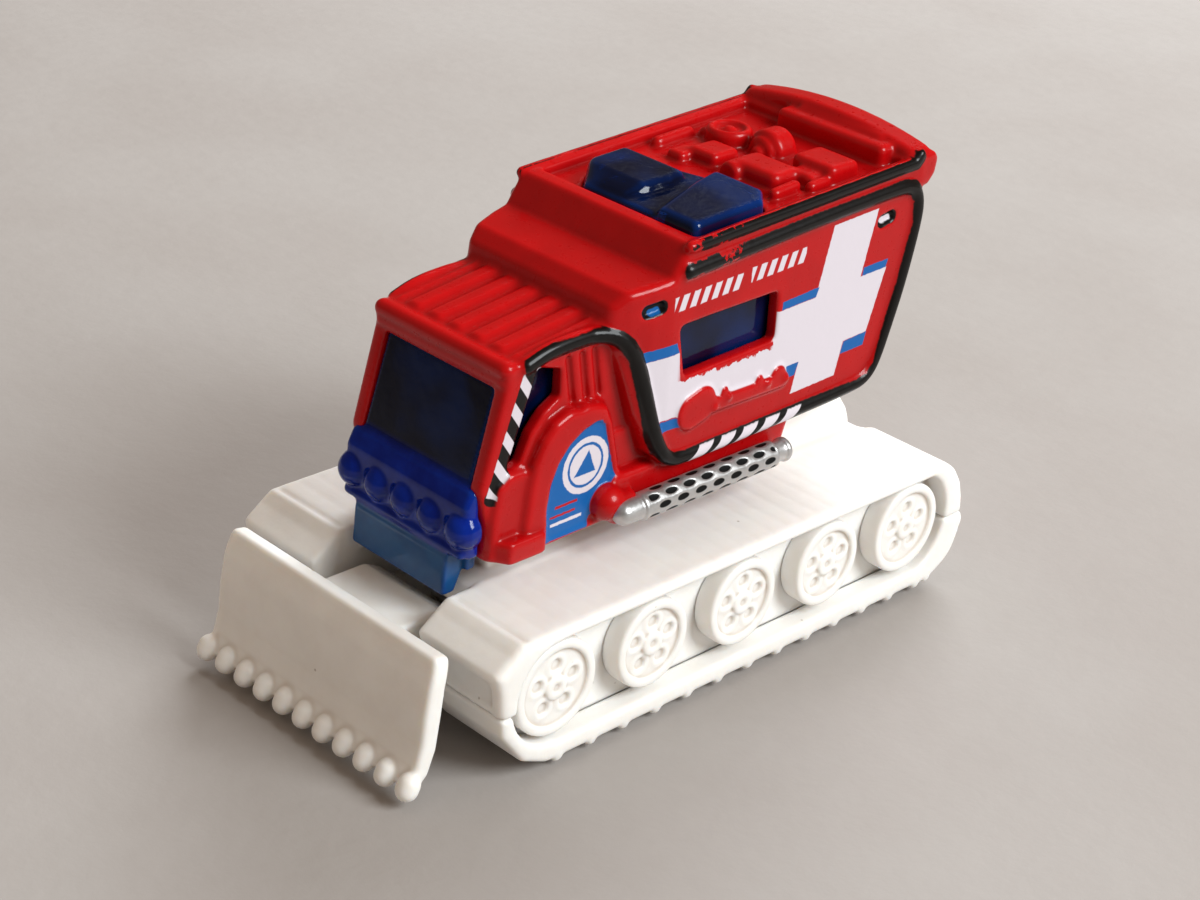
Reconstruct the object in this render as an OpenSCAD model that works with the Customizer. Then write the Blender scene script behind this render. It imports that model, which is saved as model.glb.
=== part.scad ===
// Small die-cast tracked snow plough with a box body, built the way such a toy is assembled:
// a painted metal body casting riveted onto a two-piece moulded undercarriage.
// Millimetres. The ground is z = 0, the front points along -Y, the left-hand side is +X.

/* [Undercarriage] */
// Half the width over both tracks
track_half_w = 17; // [15:0.5:20]
// Height of the flat top of the tracks above the ground
deck_top_z = 13.6; // [12:0.1:15]
// Distance between neighbouring tread bars
tread_pitch = 3.95; // [3:0.05:5]
// Number of tread bars under each track
tread_count = 13; // [8:1:16]
// Distance between neighbouring road wheels
road_pitch = 11.36; // [10:0.02:12]

/* [Running gear] */
// Radius of the hidden rolling wheels
wheel_r = 3.4; // [3:0.1:3.8]
// Width of the hidden rolling wheels
wheel_w = 2.6; // [2:0.1:3]
// Radius of the axle pins
axle_r = 0.55; // [0.4:0.05:0.8]
// Radial clearance of every turning fit
run_gap = 0.06; // [0.03:0.01:0.1]

/* [Plough] */
// Half the width of the plough blade
blade_half_w = 13.9; // [11:0.1:15]
// Number of teeth along the lower edge of the blade
tooth_count = 11; // [7:2:13]
// Distance between neighbouring teeth
tooth_pitch = 2.7; // [2:0.05:3.4]

/* [Body] */
// Half the width of the box body
box_half_w = 10.6; // [9:0.1:12]
// Half the width of the cab above the fenders
cab_half_w = 8.4; // [7:0.1:9.5]
// Thickness of the cast walls
wall = 1.3; // [1:0.1:1.8]
// Number of lamps in the front lamp bar
lamp_count = 5; // [3:2:7]

/* [Part shown] */
// Sub-part to build, or "all"

/* [Hidden] */
$fn = 48;
eps = 0.01;

red = [0.72, 0.05, 0.07];
blue = [0.03, 0.08, 0.42];
white = [0.92, 0.91, 0.89];
dark = [0.06, 0.06, 0.07];
silver = [0.72, 0.73, 0.75];
steel = [0.60, 0.61, 0.63];

// undercarriage stations along the length (Y) and height (Z)
track_inner = 6.9;
track_wall = 1.2;
seam_z = 7.1;
seam_gap = 0.05;
pan_z = 0.9;
tread_z = 0.4;
lip_y = -26.9;
lip_z = 11.4;
crease_y = -23.9;
tail_y = 27.5;
tail_z = 7.0;
tail_r = 6.72;
first_tread_y = -19.15;
road_z = 7.85;
road_y0 = -19.75;
road_r = [4.5, 4.2];
road_depth = 2.2;
wheel_plate_x = 14.5;
ledge_z = 2.7;
strip_z = 12.5;
axle_z = wheel_r;
axle_y = [-12.5, 19.5];
wheel_x = 11;
belly_z = 1.5;
belly_half_w = track_inner + track_wall;
pedestal_z = 16.1;
pedestal_half_w = 5.6;
tail_block_half_w = 6.8;
post_r = 1.7;
post_y = [-5.5, 12.5];
post_top_z = [36.6, 40.6];
rivet_head_r = 2.6;
rivet_pin_r = 0.8;
pivot_y = -21.2;
pivot_z = seam_z;
pivot_r = 0.9;
arm_half_w = 5.3;
tooth_r = 1.06;
body_z = 16.5;
exhaust_z = 18.6;

// outline of one track seen from the side, front to rear and back along the ground
track_side = [
  [crease_y, deck_top_z], [lip_y, lip_z], [lip_y + 0.5, 9.5], [-25.9, 5.4],
  [-23.4, 2.1], [-20.6, pan_z], [29.0, pan_z], [30.8, 1.3], [32.2, 2.1],
  [33.4, 3.4], [34.0, 5.0], [34.1, 6.8], [33.9, 8.8], [33.3, 10.7],
  [32.2, 12.3], [30.9, 13.2], [29.3, deck_top_z]
];

// the same outline moved inwards by the wall thickness
track_inside = [
  [-23.4, 12.4], [-25.3, 10.9], [-24.6, 5.9], [-22.5, 3.2], [-20.2, 2.1],
  [28.6, 2.1], [30.2, 2.4], [31.4, 3.1], [32.4, 4.2], [32.8, 5.4], [32.9, 6.8],
  [32.7, 8.5], [32.2, 10.1], [31.4, 11.4], [30.3, 12.1], [28.9, 12.4]
];

// outline of the box body seen from the side
box_side = [
  [-9.2, 34.9], [-8.9, 36.6], [-7.6, 37.7], [-3.3, 38.3], [-1.5, 41.0],
  [28.6, 42.6], [29.3, 40.6], [29.1, 38.3], [28.0, 31.7], [26.8, 26.9],
  [26.0, 23.4], [24.6, 21.4], [15.2, 20.6], [0.1, 20.2], [-2.3, 20.6],
  [-4.4, 22.4], [-6.1, 26.2], [-7.4, 29.9]
];
box_inner = [
  [-7.2, 33.6], [-6.9, 35.6], [-2.6, 36.9], [-0.8, 39.55], [27.4, 40.6],
  [26.7, 31.9], [24.9, 24.6], [23.9, 22.7], [15.2, 21.9], [1.1, 21.5],
  [-3.1, 22.9], [-4.8, 26.6], [-6.1, 30.2]
];

// outline of the cab seen from the side
cab_side = [
  [-19.7, 33.7], [-19.6, 32.0], [-21.9, 23.0], [-21.2, 20.0], [-20.9, 16.3],
  [-5.0, 16.3], [-5.0, 35.6], [-9.2, 35.1]
];
cab_inner = [
  [-18.3, 32.4], [-18.3, 32.0], [-20.7, 22.8], [-20.7, 15.0],
  [-6.2, 15.0], [-6.2, 34.2], [-9.2, 33.8]
];

// fender and door panel that stand proud of the cab side
fender_side = [
  [-20.9, 16.3], [-20.6, 20.4], [-19.2, 23.4], [-16.6, 25.9], [-13.4, 27.5],
  [-10.0, 28.3], [-8.4, 27.0], [-6.6, 20.8], [-6.4, 16.6]
];

module side_extrude(x0, x1) {
  translate([x0, 0, 0])
    rotate([90, 0, 90])
      linear_extrude(height = x1 - x0)
        children();
}

module both_sides() {
  children();
  mirror([1, 0, 0]) children();
}

// cylinder along X between two stations
module x_rod(r, x0, x1) {
  translate([x0, 0, 0])
    rotate([0, 90, 0])
      cylinder(r = r, h = x1 - x0);
}

module track_outline() {
  polygon(track_side);
}

module track_hollow() {
  polygon(track_inside);
}

// the sunk panel that the road wheels stand in, round at both ends
module wheel_recess(front_r) {
  rear_y = road_y0 + 4 * road_pitch;
  intersection() {
    translate([-40, ledge_z]) square([80, strip_z - ledge_z]);
    union() {
      translate([road_y0, road_z]) circle(r = front_r);
      translate([rear_y, road_z]) circle(r = 5.6);
      translate([road_y0, 0]) square([4 * road_pitch, 20]);
    }
  }
}

module above_seam() {
  translate([-60, seam_z + seam_gap]) square([120, 60]);
}

module below_seam() {
  translate([-60, -1]) square([120, seam_z + 1]);
}

// ---- undercarriage -------------------------------------------------------

// blind holes for the trunnions of the plough, split along the seam
module plough_bearing() {
  translate([0, pivot_y, pivot_z])
    x_rod(pivot_r + run_gap, -track_inner - 0.9, track_inner + 0.9);
}

// outer flank of one track above the seam, with its sunk wheel panel
module deck_flank() {
  side_extrude(wheel_plate_x, track_half_w)
    difference() {
      intersection() {
        track_outline();
        above_seam();
      }
      wheel_recess(road_r[0] + 0.1);
    }
  side_extrude(wheel_plate_x - track_wall, wheel_plate_x)
    intersection() {
      track_hollow();
      translate([-60, 2.2]) square([120, 20]);
    }
}

// hollow shell of one track above the seam
module deck_shell() {
  side_extrude(track_inner, wheel_plate_x)
    difference() {
      intersection() {
        track_outline();
        above_seam();
      }
      track_hollow();
    }
  side_extrude(track_inner, track_inner + track_wall)
    intersection() {
      track_outline();
      above_seam();
    }
}

module axle_tongues() {
  for (y = axle_y)
    translate([track_inner, y - axle_r, axle_z + axle_r + run_gap])
      cube([track_wall, 2 * axle_r, seam_z + 0.5 - axle_z - axle_r]);
}

module track_deck() {
  color(white)
    difference() {
      union() {
        both_sides() {
          deck_flank();
          deck_shell();
          axle_tongues();
        }
        // floor between the tracks, pedestal and tail block under the body
        translate([-track_inner, -20.4, deck_top_z - 1.4])
          cube([2 * track_inner, 49.7, 1.4]);
        translate([-pedestal_half_w, -18.2, deck_top_z - eps])
          cube([2 * pedestal_half_w, 34.2, pedestal_z - deck_top_z]);
        side_extrude(-tail_block_half_w, tail_block_half_w)
          polygon([
            [15.4, 13.0], [15.4, 20.2], [22.6, 20.3], [24.9, 19.0], [26.4, 17.4],
            [27.4, 16.1], [27.9, 14.8], [28.1, 13.0]
          ]);
        // cross wall that closes the tail between the tracks
        translate([-track_inner - 0.5, 27.6, seam_z + seam_gap])
          cube([2 * track_inner + 1, 1.6, deck_top_z - seam_z - 0.1]);
      }
      for (y = post_y)
        translate([0, y, 0])
          cylinder(r = post_r + 0.05, h = 30);
      plough_bearing();
    }
}

module pan_shell() {
  side_extrude(track_inner, wheel_plate_x + 0.05)
    difference() {
      intersection() {
        track_outline();
        below_seam();
      }
      track_hollow();
    }
  // outer rim and the ledge below the road wheels
  side_extrude(wheel_plate_x + 0.05, track_half_w)
    difference() {
      intersection() {
        track_outline();
        below_seam();
      }
      wheel_recess(road_r[0] + 0.6);
    }
  side_extrude(track_inner, track_inner + track_wall)
    intersection() {
      track_outline();
      below_seam();
    }
}

module tread_bars() {
  for (k = [0 : tread_count - 1])
    translate([track_inner, first_tread_y + k * tread_pitch - 0.55, tread_z])
      cube([track_half_w - track_inner, 1.1, 1.1]);
  for (a = [22, 52, 82])
    translate([0, tail_y, tail_z])
      rotate([a, 0, 0])
        translate([track_inner, -0.55, -tail_r - 0.1])
          cube([track_half_w - track_inner, 1.1, 0.9]);
}

module base_pan() {
  color(white)
    difference() {
      union() {
        both_sides() {
          pan_shell();
          tread_bars();
        }
        translate([-belly_half_w, -18.4, belly_z])
          cube([2 * belly_half_w, 47.6, 1.3]);
        for (y = post_y)
          translate([0, y, belly_z])
            cylinder(r = post_r + 1.5, h = 4.2);
        // rear cross wall under the deck
        translate([-track_inner - 0.5, 27.6, belly_z])
          cube([2 * track_inner + 1, 1.6, seam_z - belly_z]);
      }
      both_sides()
        for (y = axle_y) {
          // well for the hidden wheel
          translate([wheel_x - wheel_w / 2 - 0.4, y - wheel_r - 0.5, -1])
            cube([wheel_w + 0.8, 2 * wheel_r + 1, 4.6]);
          // slot the axle drops into
          translate([track_inner - 1, y, axle_z])
            x_rod(axle_r + run_gap, 0, 3);
          translate([track_inner - 1, y - axle_r - run_gap, axle_z])
            cube([3, 2 * (axle_r + run_gap), 8]);
        }
      for (y = post_y) {
        translate([0, y, 3.2]) cylinder(r = post_r + 0.05, h = 6);
        translate([0, y, -1]) cylinder(r = rivet_pin_r + 0.1, h = 8);
        translate([0, y, 0]) cylinder(r = rivet_head_r + 0.2, h = belly_z + 0.85);
      }
      plough_bearing();
    }
}

// ---- plough --------------------------------------------------------------

blade_side = [
  [-30.5, 13.2], [-31.3, 10.6], [-31.7, 8.0], [-31.9, 5.4], [-32.4, 3.4],
  [-33.2, 2.0], [-32.4, 1.2], [-31.0, 2.4], [-30.2, 4.6], [-29.8, 7.6],
  [-29.5, 10.4], [-29.0, 12.9]
];

module plough() {
  color(white) {
    difference() {
      union() {
        side_extrude(-blade_half_w, blade_half_w) polygon(blade_side);
        // arm plate and barrel
        side_extrude(-arm_half_w, arm_half_w)
          polygon([
            [-30.4, 10.8], [-30.4, 6.0], [-27.6, 8.4], [-22.4, 6.0], [-20.4, 6.2],
            [-19.8, 8.0], [-20.8, 9.9], [-22.6, 10.8]
          ]);
        translate([0, pivot_y, pivot_z]) x_rod(1.8, -arm_half_w, arm_half_w);
        translate([0, pivot_y, pivot_z])
          x_rod(pivot_r, -track_inner - 0.7, track_inner + 0.7);
      }
      // relief under the arm
      side_extrude(-arm_half_w + 1.2, arm_half_w - 1.2)
        polygon([[-29.0, 4.0], [-29.0, 9.4], [-23.6, 9.4], [-23.6, 4.0]]);
    }
    for (k = [0 : tooth_count - 1])
      translate([(k - (tooth_count - 1) / 2) * tooth_pitch, -33.05, 1.75]) {
        sphere(r = tooth_r, $fn = 28);
        rotate([-28, 0, 0]) {
          cylinder(r = tooth_r, h = 0.8, $fn = 28);
          translate([0, 0, 0.8]) sphere(r = tooth_r, $fn = 28);
        }
      }
  }
}

// ---- running gear --------------------------------------------------------

// plain pin with an upset head outside each wheel
module axle(y) {
  head_x = wheel_x + wheel_w / 2 + 0.25;
  color(steel)
    translate([0, y, axle_z]) {
      x_rod(axle_r, -head_x, head_x);
      both_sides() x_rod(axle_r + 0.4, head_x, head_x + 0.4);
    }
}

// wheel with a rubber-like tread and a hub boss that reaches in to the pan wall
module rolling_wheel(side, y) {
  hub_in = track_inner + track_wall + 0.2 - wheel_x;
  color(dark)
    translate([side * wheel_x, y, axle_z])
      rotate([0, side * 90, 0])
        rotate_extrude($fn = 72)
          polygon([
            [axle_r + run_gap, hub_in], [1.1, hub_in],
            [1.1, -wheel_w / 2 + 0.3], [wheel_r - 0.7, -wheel_w / 2 + 0.3],
            [wheel_r - 0.7, -wheel_w / 2], [wheel_r, -wheel_w / 2 + 0.2],
            [wheel_r, wheel_w / 2 - 0.2], [wheel_r - 0.7, wheel_w / 2],
            [wheel_r - 0.7, wheel_w / 2 - 0.3], [1.3, wheel_w / 2 - 0.3],
            [1.3, wheel_w / 2 + 0.15], [axle_r + run_gap, wheel_w / 2 + 0.15]
          ]);
}

module front_axle() { axle(axle_y[0]); }
module rear_axle() { axle(axle_y[1]); }
module wheel_front_left() { rolling_wheel(1, axle_y[0]); }
module wheel_front_right() { rolling_wheel(-1, axle_y[0]); }
module wheel_rear_left() { rolling_wheel(1, axle_y[1]); }
module wheel_rear_right() { rolling_wheel(-1, axle_y[1]); }

// moulded road wheel: deep drum with a rim, sunk face, hub and five round pockets
module road_wheel(side, k) {
  r = (k == 0 || k == 4) ? road_r[0] : road_r[1];
  color(white)
    translate([side * wheel_plate_x, road_y0 + k * road_pitch, road_z])
      rotate([0, side * 90, 0])
        difference() {
          cylinder(r = r, h = road_depth);
          translate([0, 0, road_depth - 0.45])
            difference() {
              cylinder(r = r - 0.9, h = 1);
              translate([0, 0, -1]) cylinder(r = 1.1, h = 3);
            }
          for (a = [0 : 72 : 288])
            rotate([0, 0, a])
              translate([-2.1 * side, 0, road_depth - 0.85])
                cylinder(r = 0.55, h = 1, $fn = 24);
        }
}

module road_wheel_left_1() { road_wheel(1, 0); }
module road_wheel_left_2() { road_wheel(1, 1); }
module road_wheel_left_3() { road_wheel(1, 2); }
module road_wheel_left_4() { road_wheel(1, 3); }
module road_wheel_left_5() { road_wheel(1, 4); }
module road_wheel_right_1() { road_wheel(-1, 0); }
module road_wheel_right_2() { road_wheel(-1, 1); }
module road_wheel_right_3() { road_wheel(-1, 2); }
module road_wheel_right_4() { road_wheel(-1, 3); }
module road_wheel_right_5() { road_wheel(-1, 4); }

module rivet(y) {
  color(steel)
    translate([0, y, belly_z + 0.1]) {
      cylinder(r = rivet_head_r, h = 0.7);
      cylinder(r = rivet_pin_r, h = 4.6);
    }
}

module front_rivet() { rivet(post_y[0]); }
module rear_rivet() { rivet(post_y[1]); }

// ---- body ----------------------------------------------------------------

side_window = [[-2.0, 33.7], [10.3, 33.9], [10.5, 29.2], [-0.4, 28.4]];
front_slot = [[-6.0, 36.0], [-4.0, 36.5], [-3.9, 35.7], [-5.9, 35.3]];
rear_slot = [[23.8, 37.7], [25.6, 38.0], [25.5, 37.2], [23.7, 36.9]];
cab_window = [[-16.6, 32.5], [-13.6, 31.9], [-13.6, 29.8], [-15.7, 28.4], [-18.6, 24.6], [-18.4, 26.0]];

// plan of the box: full width behind, narrowing round the front corners
module box_plan(inset) {
  w = box_half_w - inset;
  front = [[w, 40], [w, -3.0], [w - 0.3, -5.0], [w - 0.9, -7.2], [w - 1.8, -9.4]];
  linear_extrude(height = 60)
    union() {
      polygon(concat(front, [[0, -9.4], [0, 40]]));
      mirror([1, 0]) polygon(concat(front, [[0, -9.4], [0, 40]]));
    }
}

// raised bead that frames the box panel
module panel_bead() {
  side_extrude(box_half_w - 2.2, box_half_w + 0.4)
    difference() {
      polygon([
        [-8.4, 34.6], [-7.2, 35.4], [-1.0, 38.9], [27.6, 40.3], [29.1, 38.3],
        [28.0, 31.7], [26.8, 26.9], [26.0, 23.4], [24.6, 21.4], [15.2, 20.6],
        [0.1, 20.2], [-2.3, 20.6], [-4.4, 22.4], [-6.1, 26.2], [-7.4, 29.9], [-8.6, 33.4]
      ]);
      polygon([
        [-6.9, 34.2], [-0.4, 38.0], [26.9, 39.4], [28.0, 37.9], [26.9, 31.9],
        [25.7, 27.2], [25.0, 24.2], [23.9, 22.4], [15.2, 21.6], [0.3, 21.2],
        [-1.6, 21.5], [-3.4, 22.9], [-5.1, 26.6], [-6.4, 30.2]
      ]);
    }
}

// floor of the sunk roof, parallel to the roof line
module roof_well() {
  side_extrude(-box_half_w + 1.2, box_half_w - 1.2)
    polygon([[0.1, 40.15], [26.6, 41.56], [26.6, 46], [0.1, 46]]);
}

module roof_equipment() {
  // dished fan and the half-sunk blower beside it
  translate([-5.0, 19.4, 40.6])
    difference() {
      cylinder(r = 2.2, h = 2.1);
      translate([0, 0, 1.6])
        difference() {
          cylinder(r = 1.45, h = 1);
          cylinder(r = 0.6, h = 1);
        }
    }
  translate([-0.7, 19.2, 41.2])
    rotate([-90, 0, 0])
      cylinder(r = 1.95, h = 2.8);
  // low boxes between the skylights and the tail
  translate([3.4, 18.4, 40.6]) cube([5.0, 3.9, 2.3]);
  translate([0.4, 13.6, 40.4]) cube([5.5, 3.8, 2.0]);
  translate([-4.6, 13.4, 40.4]) cube([3.4, 3.5, 1.7]);
  translate([-8.0, 18.2, 40.6]) cube([3.0, 2.4, 1.4]);
  // long locker across the tail
  translate([-4.6, 25.2, 41.0]) cube([12.9, 3.0, 2.45]);
}

// crowned cross beam and spoiler at the rear edge of the roof
module roof_tail() {
  intersection() {
    translate([0, 26.8, -0.4])
      rotate([-90, 0, 0])
        cylinder(r = 45, h = 3.4, $fn = 160);
    translate([-box_half_w, 26.8, 40]) cube([2 * box_half_w, 3.4, 6]);
  }
  side_extrude(-box_half_w - 0.1, box_half_w + 0.1)
    polygon([[28.2, 40.0], [28.2, 42.6], [30.2, 42.9], [30.7, 42.2], [30.5, 40.7], [29.6, 39.7]]);
}

// side profiles of everything cast in one with the cab
module cab_mass() {
  side_extrude(-cab_half_w, cab_half_w) polygon(cab_side);
  side_extrude(-cab_half_w - 1.1, cab_half_w + 1.1) polygon(fender_side);
  // front step of the cab with cut corners
  translate([0, 0, body_z])
    linear_extrude(height = 1.9)
      polygon([
        [-8.1, -20.9], [-10.1, -19.7], [-10.1, -15.6], [10.1, -15.6], [10.1, -19.7],
        [8.1, -20.9]
      ]);
  // brow over the windscreen and ribs along the cab roof
  side_extrude(-cab_half_w, cab_half_w)
    polygon([[-19.9, 33.6], [-19.9, 32.1], [-18.4, 32.1], [-18.0, 34.0]]);
  for (x = [-6 : 2.4 : 6])
    side_extrude(x - 0.45, x + 0.45)
      polygon([[-19.0, 33.5], [-19.0, 34.1], [-9.4, 35.4], [-9.4, 34.8]]);
}

module box_mass() {
  intersection() {
    box_plan(0);
    side_extrude(-box_half_w, box_half_w) polygon(box_side);
  }
  intersection() {
    box_plan(-0.4);
    both_sides() panel_bead();
  }
  // sill under the box
  translate([-box_half_w + 0.7, -8.0, 17.2])
    cube([2 * box_half_w - 1.4, 23.0, 3.6]);
  // rails along both edges of the roof
  both_sides()
    side_extrude(box_half_w - 0.8, box_half_w)
      polygon([[-1.5, 40.2], [-1.4, 41.0], [28.6, 42.6], [28.7, 41.6]]);
  both_sides()
    translate([box_half_w - 1.0, -9.2, exhaust_z + 0.6]) sphere(r = 1.95, $fn = 40);
  roof_tail();
}

// post that hangs from the roof and takes a rivet in its lower end
module post(y, top) {
  difference() {
    translate([0, y, 3.3]) cylinder(r = post_r, h = top - 3.3);
    translate([0, y, 3]) cylinder(r = rivet_pin_r + 0.02, h = 3.4);
  }
}

module body_casting() {
  color(red) {
    difference() {
      union() {
        difference() {
          box_mass();
          roof_well();
        }
        roof_equipment();
        cab_mass();
      }
      // hollow of the box and of the cab
      intersection() {
        box_plan(wall);
        side_extrude(-box_half_w + wall, box_half_w - wall) polygon(box_inner);
      }
      side_extrude(-cab_half_w + wall, cab_half_w - wall) polygon(cab_inner);
      // open underside between the sills
      translate([-7.1, -17.6, 15]) cube([14.2, 41.2, 7.9]);
      // windscreen, side windows and slots
      side_extrude(-6.9, 6.9)
        polygon([[-25, 31.6], [-17.0, 31.6], [-18.6, 22.9], [-18.6, 15.0], [-25, 15.0]]);
      side_extrude(-20, 20) polygon(side_window);
      both_sides() {
        side_extrude(box_half_w - 0.9, box_half_w + 1) polygon(front_slot);
        side_extrude(box_half_w - 0.6, box_half_w + 1) polygon(rear_slot);
      }
      side_extrude(-20, 20) polygon(cab_window);
      // roof openings for the two skylights
      translate([0, 0, 38]) linear_extrude(height = 8) skylight_left(0.1);
      translate([0, 0, 38]) linear_extrude(height = 8) skylight_right(0.1);
    }
    for (i = [0, 1])
      post(post_y[i], post_top_z[i]);
  }
}

// plans of the two skylights, grown by g for their openings
module skylight_left(g) {
  polygon([
    [-4.4 - g, 0.2 - g], [-7.2 - g, 3.4 - g], [-7.2 - g, 8.0 + g],
    [0.7 + g, 8.0 + g], [0.7 + g, 0.2 - g]
  ]);
}

module skylight_right(g) {
  polygon([
    [1.3 - g, 0.2 - g], [9.2 + g, 0.2 - g], [9.2 + g, 8.8 + g],
    [7.6 + g, 10.5 + g], [1.3 - g, 10.5 + g]
  ]);
}

module cab_glazing() {
  color(blue) {
    // windscreen and the plate below it
    side_extrude(-6.8, 6.8)
      polygon([
        [-19.3, 31.5], [-18.2, 31.5], [-20.5, 22.9], [-20.5, 15.0],
        [-21.6, 15.0], [-21.8, 22.9]
      ]);
    // lamp shelf and bumper
    side_extrude(-7.9, 7.9)
      polygon([
        [-22.0, 22.9], [-22.9, 21.6], [-22.9, 17.2], [-22.2, 16.6], [-21.05, 16.6],
        [-21.35, 20.0]
      ]);
    side_extrude(-6, 6)
      polygon([
        [-21.0, 17.0], [-23.5, 17.0], [-23.5, 12.8], [-21.9, 12.8], [-21.0, 15.2]
      ]);
    for (k = [0 : lamp_count - 1])
      translate([(k - (lamp_count - 1) / 2) * 3.44, -22.2, 19.4])
        rotate([90, 0, 0])
          cylinder(r = 1.6, h = 1.35);
    // side windows of the cab
    both_sides()
      side_extrude(6.0, 6.8)
        polygon([
          [-18.4, 31.4], [-17.8, 32.2], [-12.6, 32.9], [-12.6, 28.4], [-17.4, 23.4],
          [-20.4, 23.4]
        ]);
  }
}

// two skylights and two side panes moulded as one saddle
module box_glazing() {
  color(blue) {
    translate([0, 0, 38.4]) linear_extrude(height = 3.9) skylight_left(0);
    translate([0, 0, 38.4]) linear_extrude(height = 3.5) skylight_right(0);
    translate([-9.2, -0.1, 38.4]) cube([18.4, 10.7, 1.0]);
    both_sides()
      side_extrude(8.3, 9.2)
        polygon([[-0.1, 39.4], [10.6, 39.4], [11.6, 34.4], [11.6, 27.6], [-2.9, 27.6], [-2.9, 34.6]]);
  }
}

// floor, dashboard and two seats
module cab_interior() {
  color(dark) {
    translate([-5.5, -17.4, pedestal_z + 0.1]) cube([11.0, 9.6, 1.2]);
    translate([-5.5, -17.4, pedestal_z + 0.1]) cube([11.0, 2.2, 6.0]);
    for (x = [-5.2, 0.8]) {
      translate([x, -13.2, pedestal_z + 0.1]) cube([4.4, 4.2, 3.4]);
      translate([x, -9.4, pedestal_z + 0.1]) cube([4.4, 1.3, 8.6]);
    }
  }
}

module exhaust(side) {
  color(silver)
    translate([side * (box_half_w + 0.75), 0, exhaust_z])
      rotate([-90, 0, 0])
        difference() {
          union() {
            translate([0, 0, -5.6]) cylinder(r = 1.35, h = 16.4);
            cylinder(r = 0.95, h = 12.6);
            translate([0, 0, 12]) cylinder(r = 1.15, h = 0.6);
            translate([0, 0, -7.0]) cylinder(r = 1.1, h = 1.5);
          }
          translate([0, 0, -3]) cylinder(r = 0.7, h = 30);
        }
}

module exhaust_left() { exhaust(1); }
module exhaust_right() { exhaust(-1); }

body_casting();
cab_glazing();
box_glazing();
cab_interior();
exhaust_left();
exhaust_right();
track_deck();
base_pan();
plough();
front_axle();
rear_axle();
wheel_front_left();
wheel_front_right();
wheel_rear_left();
wheel_rear_right();
front_rivet();
rear_rivet();
road_wheel_left_1();
road_wheel_left_2();
road_wheel_left_3();
road_wheel_left_4();
road_wheel_left_5();
road_wheel_right_1();
road_wheel_right_2();
road_wheel_right_3();
road_wheel_right_4();
road_wheel_right_5();
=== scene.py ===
import math

import bpy
import numpy as np
from mathutils import Matrix, Vector


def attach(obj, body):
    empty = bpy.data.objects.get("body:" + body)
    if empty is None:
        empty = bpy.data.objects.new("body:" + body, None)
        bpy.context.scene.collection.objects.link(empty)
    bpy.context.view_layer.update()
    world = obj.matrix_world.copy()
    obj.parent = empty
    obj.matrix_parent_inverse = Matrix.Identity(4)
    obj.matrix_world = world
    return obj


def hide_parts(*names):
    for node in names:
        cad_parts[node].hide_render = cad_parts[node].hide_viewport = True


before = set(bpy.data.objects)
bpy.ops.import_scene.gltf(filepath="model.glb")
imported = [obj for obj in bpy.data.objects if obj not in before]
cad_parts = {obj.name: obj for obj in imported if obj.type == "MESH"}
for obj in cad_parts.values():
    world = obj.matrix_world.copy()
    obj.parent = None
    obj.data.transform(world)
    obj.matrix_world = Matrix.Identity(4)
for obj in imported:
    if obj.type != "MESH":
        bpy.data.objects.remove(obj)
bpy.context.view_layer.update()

MM = 0.001

# ---- distance fields on a grid, in millimetres; negative is inside ----


class Grid:
    """Sample points of one piece; x, y and z broadcast against each other."""

    def __init__(self, lo, hi, step):
        self.lo = np.array(lo, np.float64)
        self.step = step
        axes = [np.arange(lo[i], hi[i] + step, step, dtype=np.float32) for i in range(3)]
        self.x = axes[0][:, None, None]
        self.y = axes[1][None, :, None]
        self.z = axes[2][None, None, :]
        self.mx = np.abs(self.x)
        self.axes = (self.x, self.y, self.z, self.mx)
        self.shape = tuple(len(a) for a in axes)


def sides(pts):
    """Pairs of neighbouring points round a closed outline."""
    return list(zip(pts, pts[1:] + pts[:1]))


def turning(pts):
    """1 where a closed outline turns left, otherwise -1."""
    return 1 if sum(a[0] * b[1] - b[0] * a[1] for a, b in sides(pts)) > 0 else -1


def polygon(u, v, pts):
    """Distance to a closed outline given as (u, v) pairs."""
    best = np.float32(1e9)
    inside = np.zeros(np.broadcast(u, v).shape, bool)
    for (ax, ay), (bx, by) in sides(pts):
        ex, ey = bx - ax, by - ay
        wx, wy = u - ax, v - ay
        t = np.clip((wx * ex + wy * ey) / (ex * ex + ey * ey), 0, 1)
        best = np.minimum(best, (wx - ex * t) ** 2 + (wy - ey * t) ** 2)
        if ey:
            inside ^= ((ay <= v) != (by <= v)) & (u < ex * (v - ay) / ey + ax)
    best = np.sqrt(best)
    return np.where(inside, -best, best).astype(np.float32)


def inset(pts, r):
    """The outline moved inwards by r."""
    turn = turning(pts)
    lines = []
    for a, b in sides(pts):
        length = math.hypot(b[0] - a[0], b[1] - a[1])
        n = (-(b[1] - a[1]) / length * turn, (b[0] - a[0]) / length * turn)
        lines.append((n, n[0] * a[0] + n[1] * a[1] + r))
    out = []
    for (n, c), (m, d) in zip(lines[-1:] + lines[:-1], lines):
        det = n[0] * m[1] - n[1] * m[0]
        out.append(((c * m[1] - d * n[1]) / det, (n[0] * d - m[0] * c) / det))
    return out


def outline(u, v, pts, r=0.0):
    """Outline with its outer corners rounded by r."""
    return polygon(u, v, inset(pts, r)) - r if r else polygon(u, v, pts)


def rounded(pts, times=2):
    """The open line with its corners cut, as often as asked."""
    for _ in range(times):
        out = [pts[0]]
        for (a, b), (c, d) in zip(pts[:-1], pts[1:]):
            out += [(0.75 * a + 0.25 * c, 0.75 * b + 0.25 * d),
                    (0.25 * a + 0.75 * c, 0.25 * b + 0.75 * d)]
        pts = out + [pts[-1]]
    return pts


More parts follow.
